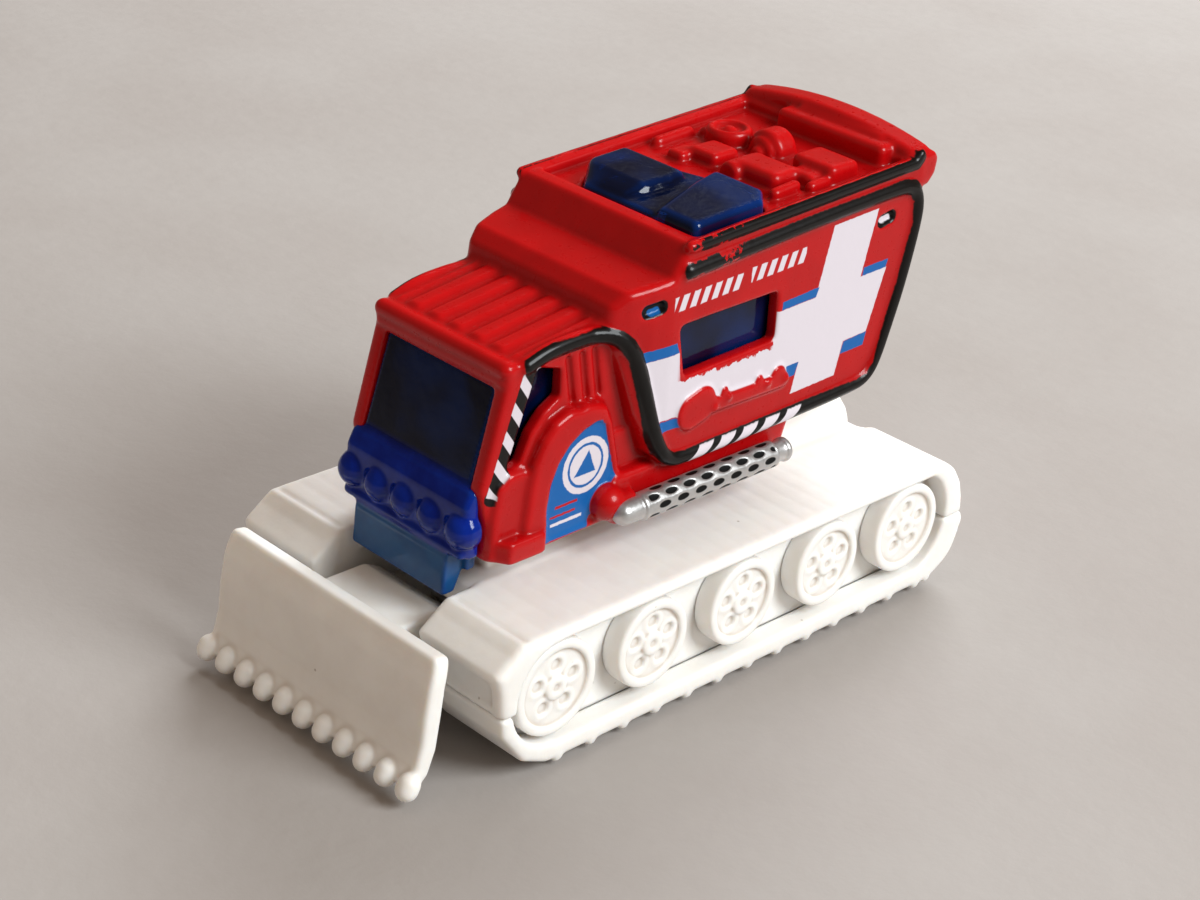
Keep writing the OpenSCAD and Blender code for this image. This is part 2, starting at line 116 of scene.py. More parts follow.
def path(u, v, pts):
    """Distance to an open chain of points."""
    best = np.float32(1e9)
    for (ax, ay), (bx, by) in zip(pts, pts[1:]):
        ex, ey = bx - ax, by - ay
        wx, wy = u - ax, v - ay
        t = np.clip((wx * ex + wy * ey) / (ex * ex + ey * ey), 0, 1)
        best = np.minimum(best, (wx - ex * t) ** 2 + (wy - ey * t) ** 2)
    return np.sqrt(best)


def meet(a, b, r=0.0):
    """Intersection with the shared edge rounded by r."""
    if not r:
        return np.maximum(a, b)
    p, q = np.maximum(a + r, 0), np.maximum(b + r, 0)
    return np.minimum(np.maximum(a, b) + r, 0) + np.sqrt(p * p + q * q) - r


def join(a, b, k=0.0):
    """Union with a fillet of about k where the surfaces cross."""
    if not k:
        return np.minimum(a, b)
    h = np.maximum(k - np.abs(a - b), 0) / k
    return np.minimum(a, b) - h * h * k * 0.25


def cut(a, b, k=0.0):
    """a with b taken out, the new edge softened by about k."""
    return -join(-a, b, k)


def band(w, lo, hi):
    return np.maximum(lo - w, w - hi)


def block(g, lo, hi, r=0.3):
    """Box with rounded edges."""
    c = [(a + b) / 2 for a, b in zip(lo, hi)]
    q = [np.abs(w - m) - (b - a) / 2 + r for w, m, a, b in zip((g.x, g.y, g.z), c, lo, hi)]
    p = [np.maximum(w, 0) for w in q]
    deep = np.minimum(np.maximum(np.maximum(q[0], q[1]), q[2]), 0)
    return deep + np.sqrt(p[0] ** 2 + p[1] ** 2 + p[2] ** 2) - r


def ball(g, c, r):
    return np.sqrt((g.x - c[0]) ** 2 + (g.y - c[1]) ** 2 + (g.z - c[2]) ** 2) - r


def capsule(g, a, b, r):
    """Rod with round ends between points a and b."""
    d = [q - p for p, q in zip(a, b)]
    w = [g.x - a[0], g.y - a[1], g.z - a[2]]
    t = np.clip(sum(p * q for p, q in zip(w, d)) / sum(p * p for p in d), 0, 1)
    return np.sqrt(sum((p - q * t) ** 2 for p, q in zip(w, d))) - r


def blur(f, times=1):
    """Rounds every edge by about a grid step."""
    for _ in range(times):
        for axis in range(3):
            s = np.moveaxis(f, axis, 0)
            t = s.copy()
            t[1:-1] = 0.25 * (s[:-2] + s[2:]) + 0.5 * s[1:-1]
            f = np.moveaxis(t, 0, axis)
    return f


def skin(g, f):
    """Points and quads of the surface where f is zero."""
    f = np.ascontiguousarray(np.broadcast_to(f, g.shape))
    inside = f < 0
    c = inside.astype(np.int8)
    for axis in range(3):
        s = np.moveaxis(c, axis, 0)
        c = np.moveaxis(s[:-1] + s[1:], 0, axis)
    cells = np.argwhere((c > 0) & (c < 8))
    ids = np.full(c.shape, -1, np.int32)
    ids[tuple(cells.T)] = np.arange(len(cells))
    total = np.zeros((len(cells), 3))
    count = np.zeros(len(cells))
    unit = np.eye(3, dtype=int)
    for axis in range(3):
        for corner in np.ndindex(2, 2, 2):
            if corner[axis]:
                continue
            fa = f[tuple((cells + corner).T)]
            fb = f[tuple((cells + corner + unit[axis]).T)]
            hit = (fa < 0) != (fb < 0)
            t = fa[hit] / (fa[hit] - fb[hit])
            total[hit] += np.array(corner) + t[:, None] * unit[axis]
            count[hit] += 1
    co = (cells + total / count[:, None]) * g.step + g.lo
    quads = []
    for axis in range(3):
        u, v = unit[(axis + 1) % 3], unit[(axis + 2) % 3]
        s = np.moveaxis(inside, axis, 0)
        at = np.argwhere(np.moveaxis(s[:-1] != s[1:], 0, axis))
        room = np.array(c.shape)
        ok = np.all((at - u - v >= 0) & (at < room), axis=1)
        at = at[ok]
        ring = np.stack([ids[tuple((at - i * u - j * v).T)] for i,
                         j in ((0, 0), (1, 0), (1, 1), (0, 1))], 1)
        out = inside[tuple(at.T)]
        ring[~out] = ring[~out][:, ::-1]
        quads.append(ring)
    return co, np.concatenate(quads)


def linked(name, data):
    o = bpy.data.objects.new(name, data)
    bpy.context.scene.collection.objects.link(o)
    return o


def mesh_object(name, co, quads):
    me = bpy.data.meshes.new(name)
    me.vertices.add(len(co))
    me.vertices.foreach_set("co", (co * MM).astype(np.float32).ravel())
    me.loops.add(quads.size)
    me.loops.foreach_set("vertex_index", quads.astype(np.int32).ravel())
    me.polygons.add(len(quads))
    me.polygons.foreach_set("loop_start", np.arange(0, quads.size, 4, dtype=np.int32))
    me.update(calc_edges=True)
    me.validate()
    me.shade_smooth()
    return linked(name, me)


def bake_modifiers(o):
    dg = bpy.context.evaluated_depsgraph_get()
    me = bpy.data.meshes.new_from_object(o.evaluated_get(dg))
    o.modifiers.clear()
    o.data = me
    me.shade_smooth()


def cast(name, g, f, keep=0.4, passes=3):
    """Piece from a distance field: skin, a little smoothing, and fewer faces where it is flat."""
    o = mesh_object(name, *skin(g, f))
    m = o.modifiers.new("smooth", "SMOOTH")
    m.factor, m.iterations = 0.5, passes
    m = o.modifiers.new("thin", "DECIMATE")
    m.ratio = keep
    m = o.modifiers.new("shading", "WEIGHTED_NORMAL")
    m.weight = 50
    bake_modifiers(o)
    return o


# ---- outlines shared with the CAD, (y, z) in millimetres ----

BOX_SIDE = [
    (-9.2, 34.9), (-8.9, 36.6), (-7.6, 37.7), (-3.3, 38.3), (-1.5, 41.0),
    (28.6, 42.6), (29.3, 40.6), (29.1, 38.3), (28.0, 31.7), (26.8, 26.9),
    (26.0, 23.4), (24.6, 21.4), (15.2, 20.6), (0.1, 20.2), (-2.3, 20.6),
    (-4.4, 22.4), (-6.1, 26.2), (-7.4, 29.9),
]
BOX_INNER = [
    (-7.2, 33.6), (-6.9, 35.6), (-2.6, 36.9), (-0.8, 39.6), (11.0, 40.2),
    (11.2, 38.9), (27.2, 39.7), (26.7, 31.9), (24.9, 24.6), (23.9, 22.7),
    (15.2, 21.9), (1.1, 21.5), (-3.1, 22.9), (-4.8, 26.6), (-6.1, 30.2),
]
CAB_SIDE = [
    (-19.7, 33.7), (-19.6, 32.0), (-21.9, 23.0), (-21.2, 20.0), (-20.9, 16.3),
    (-5.0, 16.3), (-5.0, 35.6), (-9.2, 35.1),
]
CAB_INNER = [
    (-18.3, 32.4), (-18.3, 32.0), (-20.7, 22.8), (-20.7, 15.0),
    (-6.2, 15.0), (-6.2, 34.2), (-9.2, 33.8),
]
ARCH_SIDE = [
    (-17.9, 16.3), (-17.7, 19.4), (-17.4, 22.2), (-16.9, 24.6), (-16.0, 26.5),
    (-14.8, 27.9), (-13.2, 28.5), (-10.4, 28.5), (-8.8, 27.9), (-8.0, 26.2),
    (-6.6, 20.8), (-6.4, 16.6),
]
DOOR = [
    (-14.9, 16.9), (-15.3, 19.8), (-15.0, 22.2), (-14.2, 24.1), (-13.0, 25.5),
    (-11.5, 26.4), (-9.9, 26.8), (-8.9, 26.2), (-8.1, 23.4), (-7.3, 20.4),
    (-9.2, 17.2),
]
BEAD = [
    (-17.5, 33.4), (-15.4, 34.1), (-12.4, 34.35), (-9.6, 34.3), (-8.3, 33.9),
    (-7.3, 33.0), (-6.6, 31.8), (-5.9, 29.9), (-5.0, 27.1), (-4.0, 24.0),
    (-3.1, 22.2), (-1.9, 21.2), (-0.4, 20.95), (13.2, 21.2), (22.5, 21.5),
    (24.1, 22.0), (25.1, 23.3), (26.2, 26.7), (27.4, 30.7), (28.6, 36.8),
    (28.4, 38.9), (27.5, 39.9), (26.0, 40.3), (20.9, 40.1), (13.7, 39.7),
    (4.8, 39.1), (-1.7, 38.7),
]
GUTTER = [(-1.5, 40.75), (13.7, 41.5), (27.6, 42.2), (28.2, 42.9)]
SLOTS = [[(-5.6, 35.8), (-4.4, 36.0)], [(23.7, 37.45), (24.9, 37.65)]]
SIDE_WINDOW = [(-2.0, 33.7), (10.3, 33.9), (10.5, 29.2), (-0.9, 28.8)]
CAB_WINDOW = [
    (-16.2, 32.9), (-13.6, 32.1), (-13.5, 29.6), (-15.2, 28.6), (-16.6, 27.0),
    (-17.6, 24.6), (-19.0, 24.2), (-18.9, 25.0),
]
TRACK_SIDE = [
    (-23.9, 13.6), (-26.9, 11.4), (-26.4, 9.5), (-25.9, 5.4), (-23.4, 2.1),
    (-20.6, 0.9), (29.0, 0.9), (30.8, 1.3), (32.2, 2.1), (33.4, 3.4),
    (34.0, 5.0), (34.1, 6.8), (33.9, 8.8), (33.3, 10.7), (32.2, 12.3),
    (30.9, 13.2), (29.3, 13.6),
]
TRACK_INSIDE = [
    (-23.4, 12.4), (-25.3, 10.9), (-24.6, 5.9), (-22.5, 3.2), (-20.2, 2.1),
    (28.6, 2.1), (30.2, 2.4), (31.4, 3.1), (32.4, 4.2), (32.8, 5.4), (32.9, 6.8),
    (32.7, 8.5), (32.2, 10.1), (31.4, 11.4), (30.3, 12.1), (28.9, 12.4),
]
BLADE_SIDE = [
    (-30.5, 13.2), (-31.3, 10.6), (-31.7, 8.0), (-31.9, 5.4), (-32.4, 3.4),
    (-33.2, 2.0), (-32.4, 1.2), (-31.0, 2.4), (-30.2, 4.6), (-29.8, 7.6),
    (-29.5, 10.4), (-29.0, 12.9),
]
ROOF_HOLE = [(-4.4, 0.2), (-7.2, 3.4), (-7.2, 8.0), (1.2, 10.0), (1.6, 10.5), (7.5, 10.5),
             (9.2, 8.7), (9.2, 0.2)]
ROOF_BOX = [(4.5, 0.3), (9.15, 0.3), (9.15, 8.6), (7.4, 10.4), (1.7, 10.4), (2.3, 7.2)]
BOX_W, CAB_W, TRACK_W, TRACK_IN = 10.6, 8.4, 16.98, 6.9
SEAM_Z, DECK_Z, PLATE_X = 7.1, 13.6, 14.5
ROAD_Y = [-19.75 + 11.36 * k for k in range(5)]
ROAD_Z, ROAD_R, ROAD_DEPTH = 7.85, (4.5, 4.2), 2.2
TREAD_Y = [-19.15 + 3.95 * k for k in range(13)]
EXHAUST_X, EXHAUST_Z = BOX_W + 0.75, 18.15
BEAD_R = 0.74
AXLE_Y, POST_Y = (-12.5, 19.5), (-5.5, 12.5)
PIVOT_Y = -21.2


def distance(u, u0, v, v0):
    """Distance from a line along the third axis."""
    return np.sqrt((u - u0) ** 2 + (v - v0) ** 2)


def box_half(y):
    """Half width of the box at y: it narrows round its front corners."""
    return np.interp(y, [-9.4, -7.2, -5.0, -3.0], [8.8, 9.7, 10.3, BOX_W]).astype(np.float32)


# ---- body casting ----


def build_body():
    g = Grid((-11.9, -22.6, 15.4), (11.9, 31.3, 45.2), 0.18)
    x, y, z, mx = g.axes
    half = box_half(y)
    f = meet(outline(y, z, BOX_SIDE, 0.5), mx - half, 0.7)
    # crowned cross beam and spoiler at the tail
    crown = np.sqrt(x * x + (z + 0.4) ** 2) - 44.9
    beam = meet(meet(meet(crown, band(y, 27.0, 30.0), 0.7), mx - 10.5, 0.8), 40.0 - z)
    f = join(f, beam, 0.5)
    lip = outline(y, z, [(28.0, 40.0), (28.2, 42.7), (30.2, 42.9), (30.7, 42.2), (30.5, 40.7),
                         (29.6, 39.7)], 0.3)
    f = join(f, meet(lip, mx - 10.7, 0.3), 0.3)
    # well of the roof, with its slope parallel to the roof line
    roof = z - (41.08 + 0.0532 * y)
    f = cut(f, meet(meet(-0.95 - roof, band(y, 0.1, 26.6), 0.3), mx - 9.45, 0.3), 0.25)
    for part in roof_equipment(g):
        f = join(f, part, 0.35)
    # cab, arch and step
    cab = meet(outline(y, z, CAB_SIDE, 0.5), mx - CAB_W, 0.5)
    brow = capsule(g, (-7.6, -19.25, 33.3), (7.6, -19.25, 33.3), 0.78)
    cab = join(cab, brow, 0.35)
    lip = capsule(g, (-7.6, -19.45, 32.25), (7.6, -19.45, 32.25), 0.45)
    cab = join(cab, lip, 0.2)
    roof_top = z - (33.95 + 0.134 * (y + 17.9))
    ribs = meet(np.abs(np.mod(x + 1.3, 2.6) - 1.3) - 0.8, mx - 7.2)
    ribs = meet(meet(meet(roof_top - 0.36, -0.6 - roof_top), ribs, 0.4), band(y, -18.2, -9.4), 0.3)
    cab = join(cab, ribs, 0.45)
    low = [(-20.9, 16.4), (-20.8, 20.4), (-20.3, 23.2), (-19.0, 24.2), (-12.0, 24.1), (-12.0, 16.4)]
    cab = join(cab, meet(outline(y, z, low, 0.3), mx - 8.95, 0.5), 0.3)
    arch = meet(outline(y, z, ARCH_SIDE, 0.5), mx - 9.6, 0.6)
    arch = cut(arch, meet(outline(y, z, DOOR, 0.3), 9.32 - mx), 0.12)
    cab = join(cab, arch, 0.35)
    step = outline(mx, y, [(-3.0, -21.0), (8.1, -21.0), (10.15, -19.7), (10.15, -15.6),
                           (-3.0, -15.6)], 0.3)
    cab = join(cab, meet(step, band(z, 16.35, 18.4), 0.3), 0.12)
    # upright grooves behind the side window of the cab
    for gy in (-12.2, -10.6, -9.2):
        lean = y - gy + 0.2 * (z - 30)
        cab = cut(cab, meet(meet(np.abs(lean) - 0.25, band(z, 28.4, 33.0)), CAB_W - 0.5 - mx), 0.35)
    f = join(f, cab, 0.6)
    # sill, mounts of the exhausts
    sill = outline(y, z, [(-8.0, 17.4), (-8.0, 20.9), (15.0, 20.9), (13.9, 17.4)], 0.4)
    f = join(f, meet(sill, mx - 9.9, 0.5), 0.5)
    knob = np.minimum(*[ball(g, (kx, -8.5, 18.75), 1.62) for kx in (9.8, -9.8)])
    neck = meet(distance(mx, 10.1, z, EXHAUST_Z) - 1.45, band(y, -8.4, -5.9), 0.3)
    f = join(f, join(knob, neck, 0.4), 0.3)
    # raised beads; the front of the long one follows the cab
    seat = np.interp(y, [-17.4, -10.5, -9.0, -7.2, -5.0, -3.0],
                     [8.25, 8.35, 8.8, 9.6, 10.2, BOX_W - 0.05]).astype(np.float32)
    bead = np.sqrt(path(y, z, rounded(BEAD)) ** 2 + (mx - seat + 0.1) ** 2) - BEAD_R
    gutter = np.sqrt(path(y, z, GUTTER) ** 2 + (mx - BOX_W + 0.25) ** 2) - 0.55
    f = join(join(f, bead, 0.15), gutter, 0.15)
    # relief of pumps and pipes below the side window
    relief = path(y, z, [(0.1, 25.2), (1.4, 25.6)]) - 1.75
    relief = join(relief, path(y, z, [(2.0, 25.1), (12.0, 25.0)]) - 0.75, 0.3)
    for ry, rz, rr in ((4.2, 26.1, 0.5), (8.7, 25.9, 0.55), (11.2, 25.6, 1.05)):
        relief = join(relief, distance(y, ry, z, rz) - rr, 0.25)
    f = join(f, meet(relief, mx - BOX_W - 0.42, 0.35), 0.15)
    dots = np.float32(1e9)
    for ry, rz in ((2.9, 24.9), (4.6, 25.5), (9.7, 25.4), (12.1, 25.2)):
        dots = np.minimum(dots,
                          np.sqrt((y - ry) ** 2 + (z - rz) ** 2 + (mx - BOX_W - 0.3) ** 2) - 0.42)
    f = join(f, dots, 0.12)
    # pair of low doors on the rear face, each with a handle
    rear = y - np.interp(z, [23.4, 26.9, 31.7, 38.3, 40.6],
                         [26.0, 26.8, 28.0, 29.1, 29.3]).astype(np.float32)
    door = outline(mx, z, [(0.22, 25.6), (6.9, 25.6), (7.9, 37.2), (0.22, 37.2)], 0.7)
    f = join(f, meet(door, band(rear, -0.6, 0.2), 0.2), 0.12)
    for hx in (1.4, -1.4):
        f = join(f, capsule(g, (hx, 28.05, 30.6), (hx, 28.35, 32.4), 0.32), 0.12)
    # hollow, open underside, windows and slots
    f = cut(f, meet(meet(polygon(y, z, BOX_INNER), mx - half + 1.3), mx - 9.3))
    f = cut(f, meet(polygon(y, z, CAB_INNER), mx - 7.1))
    f = cut(f, meet(meet(mx - 7.1, band(y, -17.6, 23.6)), z - 22.9))
    # web that closes the corner between cab, box and sill
    web = [(-7.2, 19.8), (-7.2, 24.6), (-4.2, 24.6), (-1.4, 19.8)]
    f = join(f, meet(polygon(y, z, web), band(mx, 7.1, 8.7), 0.2), 0.3)
    screen = [(-25.0, 31.4), (-17.0, 31.4), (-18.6, 22.9), (-18.6, 14.0), (-25.0, 14.0)]
    f = cut(f, meet(polygon(y, z, screen), mx - 6.9, 0.3), 0.15)
    f = cut(f, outline(y, z, SIDE_WINDOW, 0.5), 0.15)
    f = cut(f, outline(y, z, CAB_WINDOW, 0.15), 0.15)
    slots = np.minimum(path(y, z, SLOTS[0]), path(y, z, SLOTS[1])) - 0.5
    f = cut(f, meet(slots, half - 0.55 - mx), 0.12)
    # posts that take the rivets
    for py, top in zip(POST_Y, (36.6, 40.2)):
        f = np.minimum(f, meet(np.sqrt(x * x + (y - py) ** 2) - 1.7, band(z, 15.6, top)))
    # openings for the skylights
    f = cut(f, meet(polygon(x, y, ROOF_HOLE) - 0.1, 38.0 - z))
    return g, blur(f, 1)


def roof_equipment(g):
    """Fans, lockers and low boxes cast on the floor of the roof."""
    x, y, z = g.x, g.y, g.z
    r = distance(x, -5.0, y, 19.4)
    fan = meet(r - 2.2, band(z, 40.0, 42.7), 0.6)
    fan = cut(fan, meet(r - 1.45, 42.2 - z, 0.25), 0.3)
    yield join(fan, meet(r - 0.6, band(z, 40.0, 42.6), 0.3), 0.25)
    yield block(g, (-8.0, 18.2, 40.0), (-5.0, 20.6, 42.0), 0.6)
    # half-sunk blower with rings on its face
    r = distance(x, -0.7, z, 41.4)
    hood = meet(r - 2.05, band(y, 19.4, 22.0), 0.5)
    hood = join(hood, meet(r - 1.5, band(y, 18.8, 22.4), 0.35), 0.2)
    yield join(hood, meet(r - 0.7, band(y, 18.2, 20.0), 0.3), 0.2)
    yield block(g, (3.4, 18.4, 40.0), (8.4, 22.3, 42.9), 0.6)
    yield block(g, (0.4, 13.6, 40.0), (5.9, 17.4, 42.4), 0.75)
    yield meet(distance(x, 1.0, z, 41.2) - 1.15, band(y, 12.8, 17.0), 0.4)
    yield block(g, (4.6, 16.6, 40.0), (7.4, 18.8, 42.2), 0.5)
    yield capsule(g, (6.9, 12.6, 41.3), (6.9, 15.2, 41.5), 0.55)
    yield capsule(g, (7.9, 16.2, 41.5), (7.9, 18.0, 41.6), 0.5)
    yield block(g, (-4.6, 13.4, 40.0), (-1.2, 16.9, 42.1), 0.5)
    yield block(g, (-5.9, 12.0, 40.0), (-3.9, 14.6, 41.7), 0.4)
    yield capsule(g, (-8.3, 13.4, 41.2), (-8.3, 17.4, 41.4), 0.6)
    # locker ahead of the tail
    yield block(g, (-4.6, 25.2, 40.0), (8.3, 29.2, 43.45), 0.6)
    yield block(g, (-3.2, 26.6, 40.0), (7.0, 29.2, 43.85), 0.4)


# ---- clear parts ----


def build_front_glass():
    g = Grid((-8.9, -24.3, 12.4), (8.9, -11.9, 33.6), 0.14)
    x, y, z, mx = g.axes
    pane = [(-19.3, 31.5), (-18.2, 31.5), (-20.5, 22.9), (-20.5, 15.0), (-21.5, 15.0),
            (-21.8, 22.9)]
    f = meet(polygon(y, z, pane), mx - 6.8, 0.2)
    shelf = [(-21.2, 23.2), (-22.2, 23.0), (-22.9, 21.6), (-22.9, 17.3), (-22.2, 16.6),
             (-21.0, 16.6), (-21.2, 20.0)]
    f = join(f, meet(outline(y, z, shelf, 0.3), mx - 7.9, 0.7), 0.3)
    lip = capsule(g, (-7.2, -22.7, 17.3), (7.2, -22.7, 17.3), 0.5)
    f = join(f, lip, 0.25)
    lower = [(-21.0, 17.4), (-22.9, 17.4), (-23.2, 16.4), (-23.4, 12.85), (-22.0, 12.85),
             (-21.0, 15.2)]
    f = join(f, meet(outline(y, z, lower, 0.2), mx - 6.0, 0.25), 0.3)
    for k in range(5):
        c = ((k - 2) * 3.44, -22.3, 19.3)
        dome = np.sqrt((x - c[0]) ** 2 + ((y - c[1]) * 1.05) ** 2 + (z - c[2]) ** 2) - 1.66
        collar = meet(distance(x, c[0], z, c[2]) - 1.7, band(y, -22.75, -21.5), 0.2)
        f = join(f, join(dome, collar, 0.08), 0.1)
    side = [(-18.4, 31.4), (-17.8, 32.2), (-12.6, 32.9), (-12.6, 28.4), (-17.4, 23.4),
            (-20.4, 23.4)]
    f = np.minimum(f, meet(polygon(y, z, side), band(mx, 6.1, 6.8), 0.15))
    return g, blur(f, 1)


def build_roof_glass():
    g = Grid((-9.6, -3.2, 27.3), (9.6, 11.9, 43.2), 0.16)
    x, y, z, mx = g.axes
    rise = z - 0.05 * y
    # low saddle between the domed left light and the boxy right one
    f = meet(outline(x, y, [(-4.4, 0.25), (-7.1, 3.4), (-7.1, 7.9), (1.4, 9.8), (7.2, 9.8),
                            (9.1, 8.6), (9.1, 0.25)], 0.5),
             band(rise, 38.5, 41.25), 0.4)
    left = outline(x, y, [(-4.3, 0.3), (-7.1, 3.4), (-7.1, 7.9), (0.7, 7.9), (1.1, 5.6),
                          (0.6, 0.4)], 0.8)
    top = np.maximum(rise - 42.2, 0.93 * (rise - 42.25) - 0.36 * (y - 2.9))
    f = join(f, meet(meet(left, 38.5 - z), top, 0.9), 0.3)
    right = meet(outline(x, y, ROOF_BOX, 0.5), band(rise, 38.5, 41.95), 0.55)
    f = join(f, right, 0.35)
    # hollow from below
    core = meet(outline(x, y, inset(ROOF_BOX, 0.75), 0.3), band(rise, 38.0, 41.2), 0.3)
    f = cut(f, core, 0.2)
    f = cut(f, meet(outline(x, y, [(-3.7, 1.4), (-6.2, 3.8), (-6.2, 7.0), (-0.2, 7.0), (-0.2, 1.4)],
                            0.3), band(rise, 38.0, 40.7), 0.3), 0.2)
    pane = [(-0.1, 39.4), (10.6, 39.4), (11.6, 34.4), (11.6, 27.6), (-2.9, 27.6), (-2.9, 34.6)]
    f = join(f, meet(polygon(y, z, pane), band(mx, 8.4, 9.2), 0.15), 0.2)
    return g, blur(f, 1)


# ---- undercarriage ----


def wheel_panel(g, front_r):
    """Outline of the sunk panel behind the road wheels."""
    y, z = g.y, g.z
    ends = np.minimum(distance(y, ROAD_Y[0], z, ROAD_Z) - front_r,
                      distance(y, ROAD_Y[4], z, ROAD_Z) - 5.6)
    ends = np.minimum(ends, band(y, ROAD_Y[0], ROAD_Y[4]))
    return meet(ends, band(z, 2.7, 12.5))


def build_deck():
    g = Grid((-17.4, -27.3, 1.9), (17.4, 34.5, 20.7), 0.2)
    _, y, z, mx = g.axes
    side = outline(y, z, TRACK_SIDE)
    f = meet(side, mx - TRACK_W, 0.75)
    f = meet(f, TRACK_IN - mx, 0.3)
    inner = meet(polygon(y, z, TRACK_INSIDE), meet(mx - PLATE_X + 1.2, TRACK_IN + 1.2 - mx))
    f = cut(f, inner)
    # joints between the track plates: fine grooves across the top and the nose
    plates = np.abs(np.mod(y - TREAD_Y[0] + 0.98, 1.975) - 0.9875) - 0.13
    f = cut(f, meet(plates, meet(-side - 0.04, TRACK_IN + 0.8 - mx)), 0.14)
    crease = np.abs(y + 23.3) - 0.22
    f = cut(f, meet(crease, meet(-side - 0.25, meet(band(mx, 7.4, 16.2), 12.5 - z))), 0.2)
    f = cut(f, meet(wheel_panel(g, ROAD_R[0] + 0.1), PLATE_X - mx, 0.15), 0.2)
    nose = [(-27.6, 10.4), (-27.6, 7.6), (-25.75, 7.6), (-25.95, 10.4)]
    f = cut(f, meet(outline(y, z, nose), band(mx, 8.4, 15.6), 0.15), 0.15)
    floor = meet(meet(mx - TRACK_IN - 0.4, band(y, -20.4, 29.3)), band(z, 12.2, DECK_Z), 0.2)
    f = join(f, floor, 0.4)
    tray = meet(meet(mx - 5.6, band(y, -18.2, 16.0), 0.3), band(z, 13.0, 16.1), 0.2)
    f = join(f, tray, 0.3)
    block_side = [(15.4, 12.8), (15.4, 20.2), (22.6, 20.3), (24.9, 19.0), (26.4, 17.4),
                  (27.4, 16.1), (27.9, 14.8), (28.1, 12.8)]
    f = join(f, meet(outline(y, z, block_side, 0.6), mx - 6.8, 0.8), 0.6)
    f = join(f, meet(meet(mx - 7.4, band(y, 27.6, 29.2)), band(z, SEAM_Z, DECK_Z)), 0.2)
    # lip over the arm of the plough, clear of its swing
    lip = [(-20.0, 13.5), (-20.0, 11.3), (-21.5, 11.25), (-21.5, 12.5), (-20.9, 13.4)]
    f = join(f, meet(polygon(y, z, lip), mx - TRACK_IN - 0.3), 0.2)
    f = meet(f, SEAM_Z + 0.05 - z)
    # plate behind the road wheels and tongues over the axles reach below the seam
    plate = meet(meet(polygon(y, z, TRACK_INSIDE), band(mx, PLATE_X - 1.2, PLATE_X)), 2.3 - z)
    f = join(f, plate, 0.15)
    for ay in AXLE_Y:
        f = join(f, meet(meet(np.abs(y - ay) - 0.5, band(mx, TRACK_IN, TRACK_IN + 1.2)),
                         band(z, 4.05, 7.8)), 0.1)
    f = cut(f, capsule(g, (-7.8, PIVOT_Y, SEAM_Z), (7.8, PIVOT_Y, SEAM_Z), 0.96))
    return g, blur(f, 1)


def build_pan():
    g = Grid((-17.4, -27.3, 0.1), (17.4, 34.5, 7.5), 0.2)
    x, y, z, mx = g.axes
    side = outline(y, z, TRACK_SIDE)
    bars = np.float32(1e9)
    for ty in TREAD_Y:
        bars = np.minimum(bars, np.maximum(np.abs(y - ty) - 0.5, band(z, 0.42, 1.5)))
    for a in (22, 52, 82):
        s, c = math.sin(math.radians(a)), math.cos(math.radians(a))
        u = (y - 27.5) * c + (z - 7.0) * s
        v = (y - 27.5) * s - (z - 7.0) * c
        bars = np.minimum(bars, np.maximum(np.abs(u) - 0.5, band(v, 5.9, 6.86)))
    side = join(side, bars, 0.25)
    f = meet(meet(side, mx - TRACK_W, 0.4), TRACK_IN - mx, 0.2)
    f = cut(f, meet(polygon(y, z, TRACK_INSIDE), meet(mx - PLATE_X - 0.05, TRACK_IN + 1.2 - mx)))
    f = cut(f, meet(wheel_panel(g, ROAD_R[0] + 0.55), PLATE_X - 0.3 - mx), 0.2)
    f = meet(f, z - SEAM_Z)
    f = join(f, meet(meet(mx - 8.1, band(y, -18.4, 29.2)), band(z, 1.5, 2.8)), 0.2)
    for py in POST_Y:
        r = np.sqrt(x * x + (y - py) ** 2)
        f = join(f, meet(r - 3.2, band(z, 1.5, 5.7)), 0.2)
        f = cut(f, meet(r - 2.8, z - 2.35))
        f = cut(f, meet(r - 1.75, 3.2 - z))
    for wy in AXLE_Y:
        f = cut(f, meet(meet(np.abs(mx - 11) - 1.7, np.abs(y - wy) - 3.9), z - 3.6))
    f = cut(f, capsule(g, (-7.8, PIVOT_Y, SEAM_Z), (7.8, PIVOT_Y, SEAM_Z), 0.96))
    return g, blur(f, 1)


